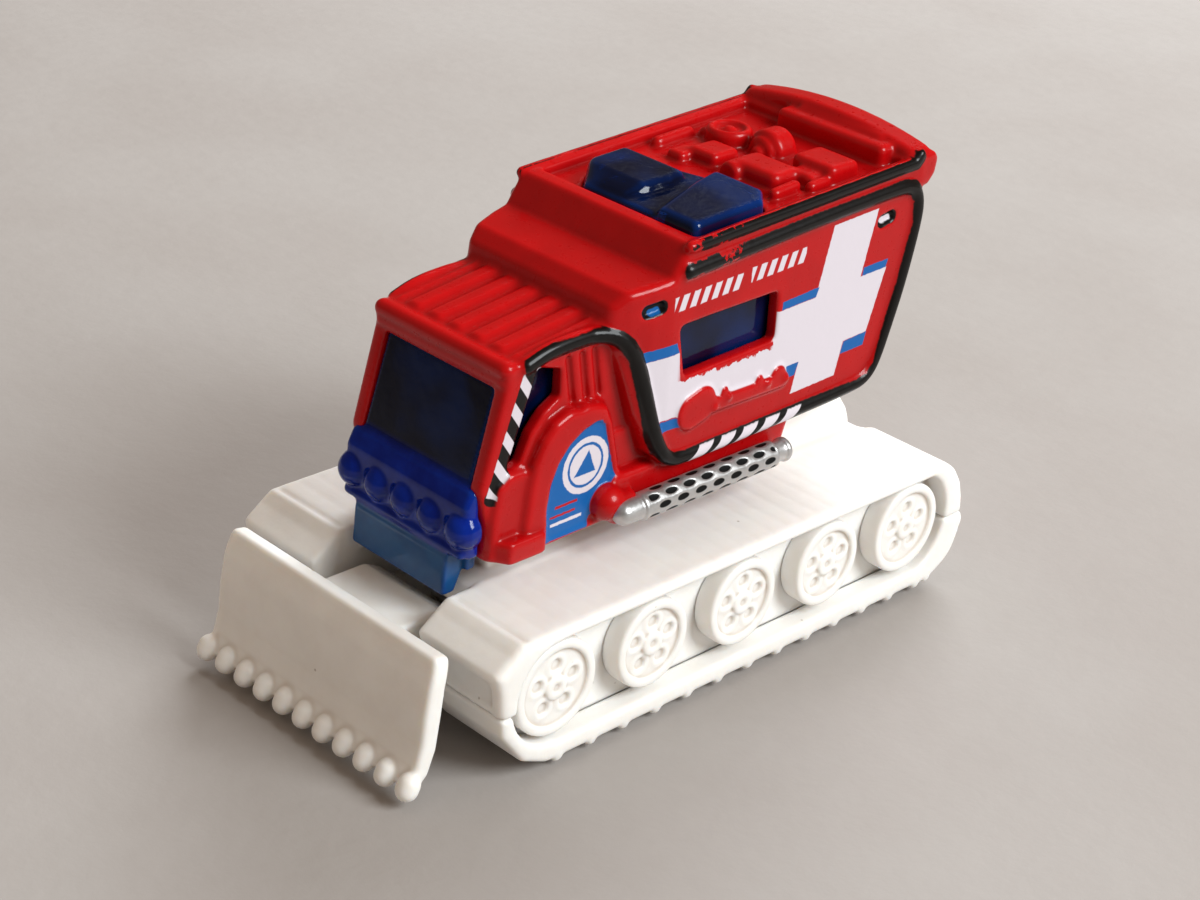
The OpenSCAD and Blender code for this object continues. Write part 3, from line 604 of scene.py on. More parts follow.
def build_plough():
    g = Grid((-15.0, -34.9, -0.1), (15.0, -19.0, 13.7), 0.16)
    _, y, z, mx = g.axes
    f = meet(outline(y, z, BLADE_SIDE, 0.3), mx - 13.9, 0.5)
    # cut corners at the top, and the sunk face between the raised edges
    corner = (mx - 13.9) * 0.94 + (z - 12.0) * 0.34
    f = meet(f, corner, 0.4)
    front = y - np.interp(z, [1.2, 2.0, 3.4, 5.4, 8.0, 10.6, 13.2],
                          [-33.0, -33.1, -32.4, -31.9, -31.7, -31.3, -30.5]).astype(np.float32)
    field = meet(meet(mx - 13.2, corner + 0.8), meet(z - 12.6, 2.0 - z))
    f = cut(f, meet(field, front - 0.07), 0.12)
    arm = [(-30.4, 10.8), (-30.4, 6.0), (-27.6, 8.4), (-22.4, 6.0), (-20.4, 6.2), (-19.8, 8.0),
           (-20.8, 9.9), (-22.6, 10.8)]
    arms = meet(outline(y, z, arm, 0.3), mx - 5.3, 0.4)
    hollow = [(-29.0, 4.0), (-29.0, 9.4), (-23.6, 9.4), (-23.6, 4.0)]
    arms = cut(arms, meet(polygon(y, z, hollow), mx - 4.1))
    f = join(f, arms, 0.4)
    pivot = distance(y, PIVOT_Y, z, SEAM_Z)
    f = join(f, meet(pivot - 1.8, mx - 5.3, 0.3), 0.2)
    f = np.minimum(f, meet(pivot - 0.9, mx - 7.6, 0.15))
    s, c = math.sin(math.radians(28)), math.cos(math.radians(28))
    teeth = np.float32(1e9)
    for k in range(11):
        a = ((k - 5) * 2.7, -33.05, 1.7)
        teeth = np.minimum(teeth, capsule(g, a, (a[0], a[1] + 0.5 * s, a[2] + 0.5 * c), 1.0))
    return g, blur(join(f, teeth, 0.2), 1)


def build_road_wheel(r):
    """Drum wheel with its axis along X, its face at x = depth."""
    g = Grid((-0.3, -r - 0.3, -r - 0.3), (ROAD_DEPTH + 0.3, r + 0.3, r + 0.3), 0.11)
    x, y, z = g.x, g.y, g.z
    d = np.sqrt(y * y + z * z)
    f = meet(d - r, band(x, 0.0, ROAD_DEPTH), 0.3)
    dish = np.maximum(d - r + 0.9, 1.15 - d)
    f = cut(f, np.maximum(dish, ROAD_DEPTH - 0.36 - x), 0.2)
    for k in range(5):
        a = math.radians(90 + 72 * k)
        away = np.sqrt((y - 2.1 * math.cos(a)) ** 2 + (z - 2.1 * math.sin(a)) ** 2)
        f = join(f, np.maximum(away - 1.0, band(x, 1.0, ROAD_DEPTH - 0.28)), 0.2)
        f = cut(f, np.maximum(away - 0.55, ROAD_DEPTH - 0.6 - x), 0.3)
    f = cut(f, np.maximum(d - 0.4, ROAD_DEPTH - 0.2 - x), 0.2)
    return g, blur(f, 1)


def build_exhaust():
    """Tube along Y with its centre line at x = z = 0."""
    g = Grid((-1.6, -9.6, -1.6), (1.6, 13.0, 1.6), 0.1)
    x, y, z = g.x, g.y, g.z
    d = np.sqrt(x * x + z * z)
    shield = meet(d - 1.26, band(y, -6.2, 10.8), 0.15)
    pipe = meet(d - 0.98, band(y, -5.6, 12.6), 0.2)
    nose = np.maximum(capsule(g, (0, -7.9, 0), (0, -6.6, 0), 1.08), band(y, -9.0, -6.2))
    nose = join(nose, meet(d - 1.0, band(y, -6.9, -5.9), 0.12), 0.1)
    tip = meet(d - 1.15, band(y, 12.0, 12.6), 0.15)
    f = join(join(join(shield, pipe, 0.1), nose, 0.1), tip, 0.1)
    angle = np.arctan2(z, x)
    for row in range(8):
        a0 = math.radians(45 * row + 8)
        turn = np.mod(angle - a0 + math.pi, 2 * math.pi) - math.pi
        shift = 1.12 if row % 2 else 0.0
        along = np.mod(y + 4.0 - shift + 1.12, 2.24) - 1.12
        hole = np.sqrt((along / 2.15) ** 2 + (turn * 1.35) ** 2) - 0.34
        hole = np.maximum(hole, band(y, -5.6, 10.4))
        f = cut(f, np.maximum(hole, 1.14 - d), 0.06)
    f = cut(f, np.maximum(d - 0.7, 10.0 - y), 0.1)
    return g, blur(f, 1)


def build_cab_tub():
    """Floor, dashboard with a wheel, and two bucket seats."""
    g = Grid((-5.8, -17.7, 15.9), (5.8, -7.8, 25.1), 0.13)
    x, y, z, mx = g.axes
    f = block(g, (-5.5, -17.4, 16.2), (5.5, -7.9, 17.3), 0.25)
    f = join(f, meet(outline(y, z, [(-17.4, 16.4), (-17.4, 21.8), (-16.2, 22.2), (-15.2, 20.8),
                                    (-15.0, 16.4)], 0.3), mx - 5.5, 0.3), 0.2)
    f = join(f, block(g, (-0.7, -15.4, 16.4), (0.7, -9.4, 18.6), 0.35), 0.3)
    for sx in (-3.0, 3.0):
        cushion = block(g, (sx - 2.1, -13.2, 16.4), (sx + 2.1, -9.0, 19.6), 0.6)
        back = meet(outline(y, z, [(-9.9, 18.0), (-9.3, 24.4), (-8.1, 24.7), (-8.1, 18.0)], 0.45),
                    np.abs(x - sx) - 2.1, 0.6)
        f = join(f, join(cushion, back, 0.4), 0.2)
    rim = distance(x, 3.0, z, 21.0) - 1.3
    ring = np.sqrt(rim ** 2 + (y + 14.6 + 0.35 * (z - 21.0)) ** 2) - 0.22
    f = join(join(f, ring, 0.1), capsule(g, (3.0, -15.8, 20.2), (3.0, -14.6, 21.0), 0.3), 0.15)
    return g, blur(f, 1)


# ---- materials ----


class Graph:
    """Nodes of one material; positions inside it are millimetres of the frame."""

    def __init__(self, name, **values):
        self.mat = bpy.data.materials.new(name)
        self.mat.use_nodes = True
        self.tree = self.mat.node_tree
        self.tree.nodes.clear()
        self.shader = self.node("ShaderNodeBsdfPrincipled")
        out = self.node("ShaderNodeOutputMaterial")
        self.tree.links.new(self.shader.outputs[0], out.inputs["Surface"])
        for key, value in values.items():
            self.shader.inputs[key.replace("_", " ")].default_value = value
        tex = self.node("ShaderNodeTexCoord")
        self.p = self.vec("SCALE", tex.outputs["Object"], scale=1 / MM)
        self.normal = tex.outputs["Normal"]

    def node(self, kind, **props):
        n = self.tree.nodes.new(kind)
        for key, value in props.items():
            setattr(n, key, value)
        return n

    def feed(self, socket, value):
        if isinstance(value, bpy.types.NodeSocket):
            self.tree.links.new(value, socket)
        else:
            socket.default_value = value

    def node_out(self, kind, *args, **props):
        """Outputs of a new node whose first inputs are the arguments."""
        n = self.node(kind, **props)
        for s, v in zip(n.inputs, args):
            self.feed(s, v)
        return n.outputs

    def math(self, op, *args, clamp=False):
        return self.node_out("ShaderNodeMath", *args, operation=op, use_clamp=clamp)[0]

    def plus(self, a, b):
        return self.math("ADD", a, b)

    def minus(self, a, b, clamp=False):
        return self.math("SUBTRACT", a, b, clamp=clamp)

    def times(self, a, b):
        return self.math("MULTIPLY", a, b)

    def vec(self, op, *args, scale=None):
        n = self.node("ShaderNodeVectorMath", operation=op)
        for s, v in zip(n.inputs, args):
            self.feed(s, v)
        if scale is not None:
            self.feed(n.inputs["Scale"], scale)
        return n.outputs["Value" if op in ("DOT_PRODUCT", "LENGTH", "DISTANCE") else "Vector"]

    def split(self, v):
        return self.node_out("ShaderNodeSeparateXYZ", v)

    def noise(self, scale, detail=3.0, rough=0.55, at=None, colour=False):
        n = self.node("ShaderNodeTexNoise")
        self.feed(n.inputs["Vector"], at or self.p)
        n.inputs["Scale"].default_value = scale
        n.inputs["Detail"].default_value = detail
        n.inputs["Roughness"].default_value = rough
        return n.outputs[1 if colour else 0]

    def fade(self, x, lo, hi, a=0.0, b=1.0):
        """Smooth change from a to b as x goes from lo to hi."""
        return self.node_out("ShaderNodeMapRange", x, lo, hi, a, b,
                             interpolation_type="SMOOTHSTEP")[0]

    def cloudy(self, scale, detail=3.0, rough=0.55, a=0.0, b=1.0):
        """Soft patches between a and b."""
        return self.fade(self.noise(scale, detail, rough), 0.3, 0.7, a, b)

    def mix(self, fac, a, b):
        n = self.node("ShaderNodeMix", data_type="RGBA")
        self.feed(n.inputs[0], fac)
        for s, v in ((n.inputs[6], a), (n.inputs[7], b)):
            self.feed(s, v if isinstance(v, bpy.types.NodeSocket) else tuple(v) + (1.0,))
        return n.outputs[2]

    def tint(self, colour, fac):
        """Colour times a number."""
        return self.vec("SCALE", colour, scale=fac)

    def attribute(self, name):
        return self.node("ShaderNodeAttribute", attribute_name=name).outputs["Fac"]

    def every(self, *masks):
        out = masks[0]
        for m in masks[1:]:
            out = self.math("MINIMUM", out, m)
        return out

    def some(self, *masks):
        out = masks[0]
        for m in masks[1:]:
            out = self.math("MAXIMUM", out, m)
        return out

    def convex(self, at, pts):
        """Depth inside a convex outline; at carries (u, v, 1)."""
        turn = turning(pts)
        depths = []
        for a, b in sides(pts):
            length = math.hypot(b[0] - a[0], b[1] - a[1])
            nu, nv = -(b[1] - a[1]) / length * turn, (b[0] - a[0]) / length * turn
            depths.append(self.vec("DOT_PRODUCT", at, (nu, nv, -nu * a[0] - nv * a[1])))
        return self.every(*depths)

    def path(self, at, pts):
        """Distance to a chain of points."""
        found = []
        for a, b in zip(pts, pts[1:]):
            d = (b[0] - a[0], b[1] - a[1])
            square = d[0] ** 2 + d[1] ** 2
            w = self.vec("SUBTRACT", at, (a[0], a[1], 1.0))
            t = self.vec("DOT_PRODUCT", w, (d[0] / square, d[1] / square, 0.0))
            t = self.math("ADD", t, 0.0, clamp=True)
            found.append(self.vec("DISTANCE", w, self.vec("SCALE", (d[0], d[1], 0.0), scale=t)))
        return self.every(*found)

    def ink(self, depth, soft=0.05):
        """1 where a depth is above 0, with a soft edge."""
        return self.fade(depth, -soft, soft)

    def finish(self, colour, rough, height=None, distance=0.05, strength=1.0):
        self.feed(self.shader.inputs["Base Color"], colour)
        self.feed(self.shader.inputs["Roughness"], rough)
        if height is not None:
            n = self.node("ShaderNodeBump")
            n.inputs["Strength"].default_value = strength
            n.inputs["Distance"].default_value = distance * MM
            self.feed(n.inputs["Height"], height)
            self.tree.links.new(n.outputs[0], self.shader.inputs["Normal"])
        return self.mat


RED = (0.40, 0.002, 0.003)
WHITE_INK = (0.60, 0.55, 0.60)
BLUE_INK = (0.004, 0.095, 0.32)
BLACK_INK = (0.0035, 0.0025, 0.0022)
CROSS = [
    [(16.9, 38.6), (22.9, 38.9), (19.4, 23.3), (13.4, 23.1)],
    [(18.0, 32.45), (25.1, 32.75), (23.3, 26.7), (16.5, 26.4)],
    [(10.3, 31.85), (16.5, 32.1), (15.0, 26.1), (10.3, 26.1)],
    [(-2.4, 28.5), (10.8, 28.75), (13.6, 26.2), (12.6, 25.2), (-2.4, 25.2)],
    [(-6.4, 31.1), (-1.9, 31.3), (-0.9, 25.2), (-4.0, 25.2)],
]
STRIPES = [
    [(-6.6, 32.1), (-2.3, 32.3), (-1.9, 31.3), (-6.4, 31.1)],
    [(-4.0, 25.1), (-1.3, 25.1), (-0.8, 24.1), (-3.5, 24.1)],
    [(11.0, 32.7), (15.8, 33.0), (15.5, 32.1), (11.0, 31.9)],
    [(21.8, 33.4), (25.2, 33.5), (25.0, 32.7), (21.7, 32.6)],
    [(20.2, 26.5), (23.4, 26.7), (23.1, 25.4), (19.9, 25.3)],
    [(12.4, 26.1), (14.1, 26.1), (13.7, 24.9), (12.3, 24.9)],
]
INK_LINE = [
    (-17.3, 33.5), (-15.4, 34.1), (-9.4, 34.25), (-8.2, 33.85), (-7.3, 33.05),
    (-6.6, 31.95), (-5.9, 29.9), (-4.15, 24.0), (-3.15, 22.1), (-2.0, 21.2),
    (-0.5, 20.95), (22.5, 21.4), (24.2, 21.8), (25.2, 23.1), (27.4, 30.7),
    (28.6, 36.5), (28.4, 38.9), (27.4, 40.0), (26.0, 40.3), (13.7, 39.7),
    (-1.6, 38.75),
]
DOOR_PANEL = [
    (-9.55, 26.8), (-9.0, 26.2), (-7.3, 20.3), (-7.3, 16.8), (-15.3, 16.8),
    (-15.3, 20.4), (-15.0, 22.2), (-14.3, 24.0), (-13.1, 25.4), (-11.6, 26.4),
    (-10.2, 26.8),
]


def red_paint():
    """Gloss red enamel with the printed side decoration."""
    g = Graph("red_enamel", IOR=1.42, Specular_IOR_Level=0.2, Coat_Weight=0.2, Coat_Roughness=0.05)
    px, py, pz = g.split(g.p)
    ax = g.math("ABSOLUTE", px)
    nx = g.math("ABSOLUTE", g.split(g.normal)[0])
    wobble = g.vec("SUBTRACT", g.noise(2.2, 3.0, 0.6, colour=True), (0.5, 0.5, 0.5))
    _, wy, wz = g.split(g.vec("SCALE", wobble, scale=0.16))
    flat = g.node_out("ShaderNodeCombineXYZ", py, pz, 1.0)[0]
    at = g.vec("ADD", flat, g.node_out("ShaderNodeCombineXYZ", wy, wz, 0.0)[0])
    worn = g.noise(0.55, 5.0, 0.65)
    fine = g.noise(1.6, 3.0, 0.5)
    side = g.fade(nx, 0.45, 0.75)
    on_box = g.every(side, g.fade(ax, 9.9, 10.1))
    on_panel = g.every(on_box, g.fade(ax, 10.86, 10.74))

    white = g.ink(g.some(*[g.convex(at, q) for q in CROSS]))
    # the lower margin of the window is left ragged
    ragged = g.plus(g.times(g.noise(1.1, 4.0, 0.7), 1.6), 27.65)
    margin = g.every(g.fade(pz, g.minus(ragged, 0.06), g.plus(ragged, 0.06)),
                     g.fade(py, -2.0, -1.2), g.fade(py, 10.4, 9.8))
    white = g.minus(white, margin, clamp=True)
    # two groups of plain slanted bars above the window
    lean = g.minus(py, g.times(g.minus(pz, 36.0), 0.35))
    for first, count, step, rise in ((-2.2, 6, 1.3, 0.0), (7.2, 5, 1.3, 0.5)):
        phase = g.math("PINGPONG", g.minus(lean, first + 0.35), step / 2)
        row = g.every(g.minus(0.37, phase), g.convex(at, [
            (first - 0.8, 35.2 + rise), (first + count * step - 0.3, 35.5 + rise),
            (first + count * step - 0.3, 36.9 + rise), (first - 0.8, 36.6 + rise)]))
        white = g.some(white, g.ink(row))
    blue = g.ink(g.some(*[g.convex(at, q) for q in STRIPES]))

    # cab door: panel, roundel with a plain wedge, three fine bars

    def circle(c, r):
        return g.minus(r, g.vec("DISTANCE", at, (c[0], c[1], 1.0)))

    panel = g.every(g.convex(at, DOOR_PANEL), g.times(circle((-4.5, 15.5), 6.05), -1.0))
    hub = (-10.9, 22.85)
    rim = g.minus(0.13, g.math("ABSOLUTE", circle(hub, 1.95)))
    wedge = g.convex(at, [(-12.2, 22.0), (-9.7, 22.0), (-10.6, 24.2)])
    on_door = g.every(side, g.fade(ax, 9.0, 9.15), g.fade(ax, 9.72, 9.62), g.fade(py, -6.4, -6.6))
    door_red = g.some(g.convex(at, [(-14.2, 19.6), (-14.15, 19.85), (-11.6, 19.9), (-11.6, 19.65)]),
                      g.convex(at, [(-14.7, 18.8), (-14.7, 19.0), (-11.8, 19.05), (-11.8, 18.85)]))
    door_line = g.convex(at, [(-14.6, 18.0), (-14.6, 18.3), (-11.0, 18.35), (-11.0, 18.05)])
    door_white = g.minus(g.ink(circle(hub, 2.65)), g.ink(g.some(rim, wedge)), clamp=True)
    door_white = g.some(door_white, g.ink(door_line))

    # black lines on the beads, thin and patchy along the front of the roof
    patch = g.every(g.fade(py, 7.5, 2.0), g.fade(pz, 37.0, 38.5), g.fade(py, -3.4, -2.2))
    thin = g.times(g.times(patch, g.fade(worn, 0.48, 0.66)), 0.85)
    bead = g.minus(g.minus(0.74, g.path(at, INK_LINE)), thin)
    gutter = g.minus(g.minus(0.62, g.path(at, GUTTER)), thin)
    least = g.fade(py, -9.5, -4.5, 8.2, 10.05)
    outside = g.fade(g.minus(ax, least), 0.0, 0.1)
    black = g.every(g.ink(g.some(bead, gutter), 0.06), outside, g.fade(nx, 0.12, 0.3))
    slot = g.every(g.path(at, SLOTS[0]), g.path(at, SLOTS[1]))
    slot_bar = g.every(g.path(at, [(-5.2, 35.55), (-4.5, 35.7)]),
                       g.path(at, [(24.0, 37.35), (24.9, 37.5)]))
    black = g.some(black, g.every(g.ink(g.minus(0.68, slot)), g.fade(ax, 9.2, 9.4)))

    # slanted stripes on the lower bead and down the front pillar
    slant = g.plus(py, g.times(pz, -1.4))
    hatch = g.minus(g.math("PINGPONG", g.plus(slant, 60.0), 1.4), 0.5)
    lower = g.every(hatch, g.convex(at, [(-0.6, 20.0), (13.1, 20.15), (14.8, 21.8), (1.1, 21.6)]))
    pillar_slant = g.plus(pz, g.times(py, 1.4))
    pillar_hatch = g.minus(g.math("PINGPONG", g.plus(pillar_slant, 60.0), 1.72), 0.95)
    pillar = g.convex(at, [(-17.55, 33.9), (-15.9, 32.9), (-19.75, 21.9), (-21.3, 22.6)])
    on_pillar = g.every(side, g.fade(ax, 7.9, 8.1), g.fade(ax, 8.8, 8.6))
    black = g.some(black, g.every(g.ink(g.some(pillar, circle((-20.7, 22.4), 0.75))), on_pillar))

    edge = g.attribute("edge")
    tone_and_painted_light = g.fade(g.noise(0.35, 3.0, 0.5), 0.2, 0.8, 0.93, 1.05)
    # painted shade darkens the corners and a painted highlight lightens the outer edges; the noise
    # above is random tone
    tone_and_painted_light = g.times(tone_and_painted_light, g.fade(edge, -0.6, 0.5, 0.80, 1.06))
    colour = g.tint(RED, tone_and_painted_light)
    for mask, place, ink in ((white, on_panel, WHITE_INK), (blue, on_panel, BLUE_INK),
                             (g.ink(panel), on_door, BLUE_INK), (g.ink(door_red), on_door, RED),
                             (door_white, on_door, WHITE_INK)):
        colour = g.mix(g.every(mask, place), colour, ink)
    colour = g.mix(black, colour, BLACK_INK)
    stripe = g.some(g.every(g.ink(lower), on_box),
                    g.every(g.ink(g.every(pillar, pillar_hatch)), on_pillar))
    colour = g.mix(stripe, colour, WHITE_INK)
    bar = g.every(g.ink(g.minus(0.27, slot_bar)), g.fade(ax, 9.2, 9.4))
    colour = g.mix(bar, colour, g.mix(g.fade(py, 0.0, 1.0), BLUE_INK, WHITE_INK))
    inks = g.some(black, stripe, g.every(g.some(white, blue), on_panel),
                  g.every(g.ink(panel), on_door))
    rough = g.fade(fine, 0.3, 0.7, 0.27, 0.33)
    rough = g.plus(rough, g.times(inks, 0.08))
    return g.finish(colour, rough, g.noise(0.8, 2.0, 0.5), 0.05, 0.4)


def white_plastic():
    g = Graph("white_moulding", IOR=1.46, Subsurface_Weight=0.5, Subsurface_Scale=1.2 * MM,
              Subsurface_Radius=(1.0, 0.85, 0.7))
    cloud = g.noise(0.25, 4.0, 0.55)
    fine = g.noise(6.0, 3.0, 0.6)
    edge = g.attribute("edge")
    colour = g.mix(g.fade(cloud, 0.3, 0.7), (0.79, 0.765, 0.735), (0.83, 0.815, 0.79))
    # painted shade darkens the corners a little, rare dark specks on the faces
    colour = g.mix(g.fade(edge, 0.0, -0.8), colour, (0.60, 0.53, 0.46))
    cell = g.node("ShaderNodeTexVoronoi")
    g.feed(cell.inputs["Vector"], g.p)
    cell.inputs["Scale"].default_value = 0.42
    speck = g.every(g.fade(cell.outputs["Distance"], 0.07, 0.03),
                    g.fade(g.noise(0.3, 1.0), 0.56, 0.6))
    colour = g.mix(g.times(speck, 0.55), colour, (0.20, 0.14, 0.10))
    rough = g.fade(fine, 0.3, 0.7, 0.36, 0.50)
    height = g.plus(g.noise(0.9, 3.0, 0.5), g.times(fine, 0.12))
    return g.finish(colour, rough, height, 0.06, 0.5)


def blue_plastic():
    """Tinted clear plastic with painted light: painted shade keeps it dark where the cab and box
    lie behind it, and it is painted brighter at the lamps and the bumper, where light comes
    through.
    """
    g = Graph("blue_clear_moulding", IOR=1.4, Specular_IOR_Level=0.1, Transmission_Weight=0.35,
              Coat_Weight=0.25, Coat_Roughness=0.03)
    pz = g.split(g.p)[2]
    cloud = g.noise(0.5, 3.0, 0.5)
    edge = g.attribute("edge")
    depth = g.noise(0.11, 2.0, 0.5)
    # painted glow: noise patches of lighter blue across the painted-dark windows
    deep = g.mix(g.fade(depth, 0.42, 0.62), (0.0004, 0.0025, 0.018), (0.0008, 0.014, 0.085))
    lamps = g.mix(g.fade(cloud, 0.25, 0.75), (0.001, 0.012, 0.22), (0.003, 0.026, 0.34))
    plate = g.mix(g.fade(cloud, 0.25, 0.75), (0.008, 0.075, 0.24), (0.012, 0.10, 0.29))
    # painted shade: dark windows above the shelf; painted light: brighter lamps, and a lighter
    # bumper where white plastic lies behind it
    colour = g.mix(g.fade(pz, 24.0, 22.8), deep, lamps)
    colour = g.mix(g.fade(pz, 17.0, 16.6), colour, plate)
    # painted highlight: the outer edges are lighter blue
    colour = g.mix(g.fade(edge, 0.1, 0.9, 0.0, 0.45), colour, (0.004, 0.06, 0.36))
    rough = g.fade(g.noise(2.4, 4.0, 0.65), 0.3, 0.75, 0.03, 0.14)
    return g.finish(colour, rough, g.noise(0.8, 2.0, 0.5), 0.05, 0.45)


def dark_plastic():
    g = Graph("dark_moulding", IOR=1.46)
    edge = g.attribute("edge")
    colour = g.mix(g.cloudy(0.8, 4.0), (0.012, 0.012, 0.016), (0.022, 0.022, 0.028))
    # painted highlight: the outer edges are lighter grey
    colour = g.mix(g.fade(edge, 0.1, 0.9), colour, (0.05, 0.05, 0.06))
    return g.finish(colour, g.cloudy(4.0, a=0.42, b=0.6), g.noise(7.0, 2.0), 0.02, 0.5)


def silver_paint():
    """Printed silver; the sunk ovals are painted black, painted shade for the dark inside of the
    holes.
    """
    g = Graph("silver_print", IOR=1.5, Metallic=0.8)
    px, py, pz = g.split(g.p)
    radial = g.node_out("ShaderNodeCombineXYZ", g.minus(g.math("ABSOLUTE", px), EXHAUST_X),
                        g.minus(pz, EXHAUST_Z), 0.0)[0]
    d = g.vec("LENGTH", radial)
    oval = g.every(g.fade(d, 1.22, 1.18), g.fade(py, -6.0, -5.85), g.fade(py, 10.6, 10.45))
    scuffs = g.noise(1.4, 5.0, 0.7)
    colour = g.mix(g.fade(scuffs, 0.3, 0.7), (0.50, 0.485, 0.48), (0.55, 0.535, 0.53))
    # painted shade: the sunk ovals are black
    colour = g.mix(oval, colour, (0.006, 0.006, 0.006))
    rough = g.cloudy(3.0, 4.0, 0.6, 0.30, 0.42)
    return g.finish(colour, g.some(rough, g.times(oval, 0.6)), g.noise(2.0, 4.0), 0.03, 0.5)


def steel():
    g = Graph("plated_wire", IOR=1.5, Metallic=1.0)
    ring = g.noise(1.0, 4.0, 0.6, at=g.vec("MULTIPLY", g.p, (0.4, 6.0, 6.0)))
    colour = g.mix(g.cloudy(1.2, 4.0), (0.46, 0.46, 0.47), (0.62, 0.62, 0.63))
    return g.finish(colour, g.fade(ring, 0.3, 0.7, 0.24, 0.42), ring, 0.02, 0.4)


def wheel_plastic():
    g = Graph("black_roller", IOR=1.48)
    colour = g.mix(g.cloudy(1.0, 4.0), (0.010, 0.010, 0.011), (0.028, 0.027, 0.026))
    return g.finish(colour, g.cloudy(3.0, 4.0, a=0.3, b=0.5), g.noise(4.0, 3.0), 0.03, 0.5)


def floor_card():
    """Pale card with a faint felt texture."""
    g = Graph("pale_card", IOR=1.45)
    g.shader.inputs["Specular IOR Level"].default_value = 0.2
    colour = g.mix(g.cloudy(0.03, 4.0, 0.5), (0.335, 0.305, 0.288), (0.355, 0.328, 0.312))
    return g.finish(colour, g.cloudy(0.5, a=0.55, b=0.75), g.noise(0.35, 5.0, 0.55), 0.25, 0.35)


# ---- pieces ----


def sample(g, values, co):
    """Grid values at points, by straight interpolation."""
    at = (co - g.lo) / g.step
    base = np.clip(np.floor(at).astype(int), 0, np.array(values.shape) - 2)
    t = np.clip(at - base, 0, 1)
    out = np.zeros(len(co))
    for corner in np.ndindex(2, 2, 2):
        w = np.prod(np.where(corner, t, 1 - t), axis=1)
        out += w * values[tuple((base + corner).T)]
    return out


def curvature_for_painted_light(o, g, f, reach=6):
    """Vertex attribute that steers painted light: above 0 on outer edges, which are painted
    lighter, below 0 in corners, which are painted with shade.
    """
    near = np.clip(np.broadcast_to(f, g.shape), -1.2, 1.2)
    bend = (blur(near, reach) - near) / (g.step * 0.9)
    me = o.data
    co = np.empty(len(me.vertices) * 3, np.float32)
    me.vertices.foreach_get("co", co)
    co = co.reshape(-1, 3).astype(float) / MM
    value = np.clip(sample(g, bend, co), -1, 1).astype(np.float32)
    me.attributes.new("edge", "FLOAT", "POINT").data.foreach_set("value", value)


def piece(name, build, keep, mat, slot, body, *nodes):
    g, f = build
    o = cast(name, g, f, keep)
    curvature_for_painted_light(o, g, f)
    o.data.materials.append(mat)
    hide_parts(*nodes)
    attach(o, body)


def placed(name, source, move, mat, node):
    """Copy of a mesh, moved to its place."""
    me = source.data.copy()
    me.name = name
    me.transform(move)
    o = linked(name, me)
    o.data.materials.append(mat)
    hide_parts(node)
    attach(o, "vehicle")


def add_pieces():
    red, white, blue = red_paint(), white_plastic(), blue_plastic()
    silver, dark, wire, roller = silver_paint(), dark_plastic(), steel(), wheel_plastic()
    piece("body_shell", build_body(), 0.42, red, "red_paint", "vehicle", "body_casting")
    piece("front_glass", build_front_glass(), 0.4, blue, "blue_clear", "vehicle", "cab_glazing")
    piece("roof_glass", build_roof_glass(), 0.3, blue, "blue_clear", "vehicle", "box_glazing")
    piece("cab_tub", build_cab_tub(), 0.3, dark, "dark_plastic", "vehicle", "cab_interior")
    piece("deck_moulding", build_deck(), 0.4, white, "white_plastic", "vehicle", "track_deck")
    piece("pan_moulding", build_pan(), 0.4, white, "white_plastic", "vehicle", "base_pan")
    piece("plough_blade", build_plough(), 0.4, white, "white_plastic", "plough_unit", "plough")
    for r, ks in ((ROAD_R[0], (0, 4)), (ROAD_R[1], (1, 2, 3))):
        g, f = build_road_wheel(r)
        master = cast("wheel_master", g, f, 0.35)
        curvature_for_painted_light(master, g, f)
        for k in ks:
            for side, word in ((1, "left"), (-1, "right")):
                move = Matrix.Translation(Vector((side * PLATE_X, ROAD_Y[k], ROAD_Z)) * MM)
                if side < 0:
                    move = move @ Matrix.Rotation(math.pi, 4, "Z")
                placed(f"wheel_{word}_{k + 1}", master, move, white,
                       f"road_wheel_{word}_{k + 1}")
        bpy.data.objects.remove(master)
    g, f = build_exhaust()
    master = cast("exhaust_master", g, f, 0.5, 1)
    curvature_for_painted_light(master, g, f)
    for side, word in ((1, "left"), (-1, "right")):
        move = Matrix.Translation(Vector((side * EXHAUST_X, 0, EXHAUST_Z)) * MM)
        placed(f"exhaust_tube_{word}", master, move, silver, f"exhaust_{word}")
    bpy.data.objects.remove(master)
    for name, mat in (("front_axle", wire), ("rear_axle", wire), ("front_rivet", wire),
                      ("rear_rivet", wire),
                      ("wheel_front_left", roller), ("wheel_front_right", roller),
                      ("wheel_rear_left", roller), ("wheel_rear_right", roller)):
        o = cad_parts[name]
        o.data.materials.clear()
        o.data.materials.append(mat)
        m = o.modifiers.new("round", "BEVEL")
        m.width, m.segments, m.limit_method = 0.12 * MM, 3, "ANGLE"


# ---- stage ----


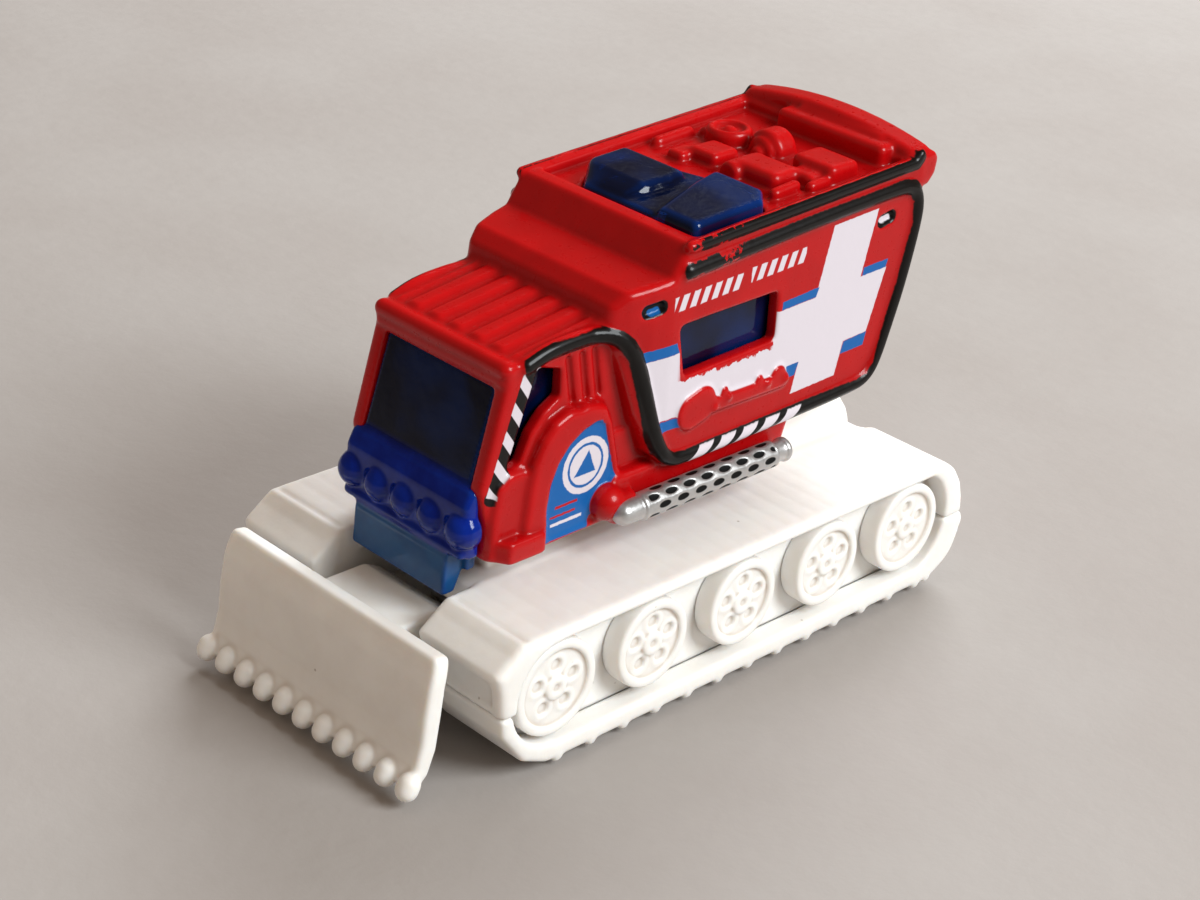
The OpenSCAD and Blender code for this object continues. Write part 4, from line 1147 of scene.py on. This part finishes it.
def soft_light(name, at, aim, size, watts, colour):
    lamp = bpy.data.lights.new(name, "AREA")
    lamp.shape, lamp.size = "DISK", size
    lamp.energy, lamp.color = watts, colour
    o = linked(name, lamp)
    o.location = at
    o.rotation_euler = (Vector(aim) - Vector(at)).to_track_quat("-Z", "Y").to_euler()
    return o


def add_camera():
    azimuth, height, roll = (math.radians(a) for a in (43.67, 26.95, 4.69))
    back = Vector((math.sin(azimuth) * math.cos(height), -math.cos(azimuth) * math.cos(height),
                   math.sin(height)))
    right = (-back).cross(Vector((0, 0, 1))).normalized()
    up = right.cross(-back)
    r = math.cos(roll) * right + math.sin(roll) * up
    u = math.cos(roll) * up - math.sin(roll) * right
    cam = bpy.data.cameras.new("camera")
    cam.lens, cam.sensor_width, cam.clip_start, cam.clip_end = 73.78, 36.0, 0.01, 10.0
    o = linked("camera", cam)
    at = Vector((0.13687, -0.14292, 0.11770))
    o.matrix_world = Matrix((
        (r.x, u.x, back.x, at.x), (r.y, u.y, back.y, at.y), (r.z, u.z, back.z, at.z), (0, 0, 0, 1)))
    bpy.context.scene.camera = o


def add_stage():
    me = bpy.data.meshes.new("floor")
    s = 1.6
    me.from_pydata([(-s, -s, 0), (s, -s, 0), (s, s, 0), (-s, s, 0)], [], [(0, 1, 2, 3)])
    floor = linked("floor", me)
    me.materials.append(floor_card())
    world = bpy.data.worlds.new("world")
    world.use_nodes = True
    tree = world.node_tree
    sky = tree.nodes["Background"]
    sky.inputs[0].default_value = (1.0, 0.82, 0.66, 1)
    strength = tree.nodes.new("ShaderNodeMapRange")
    tree.links.new(tree.nodes.new("ShaderNodeLightPath").outputs["Is Glossy Ray"],
                   strength.inputs[0])
    strength.inputs[3].default_value, strength.inputs[4].default_value = 0.46, 0.14
    tree.links.new(strength.outputs[0], sky.inputs[1])
    bpy.context.scene.world = world
    soft_light("key", (0.62, 0.20, 0.50), (0, 0.02, 0.02), 0.45, 8.0, (0.92, 0.98, 1.0))
    back = soft_light("back", (-0.25, 0.50, 0.42), (-0.05, 0.1, 0.0), 0.4, 5.2, (0.90, 0.96, 1.0))
    back.visible_glossy = False
    bpy.context.scene.view_settings.view_transform = "Standard"


add_camera()
add_stage()
add_pieces()
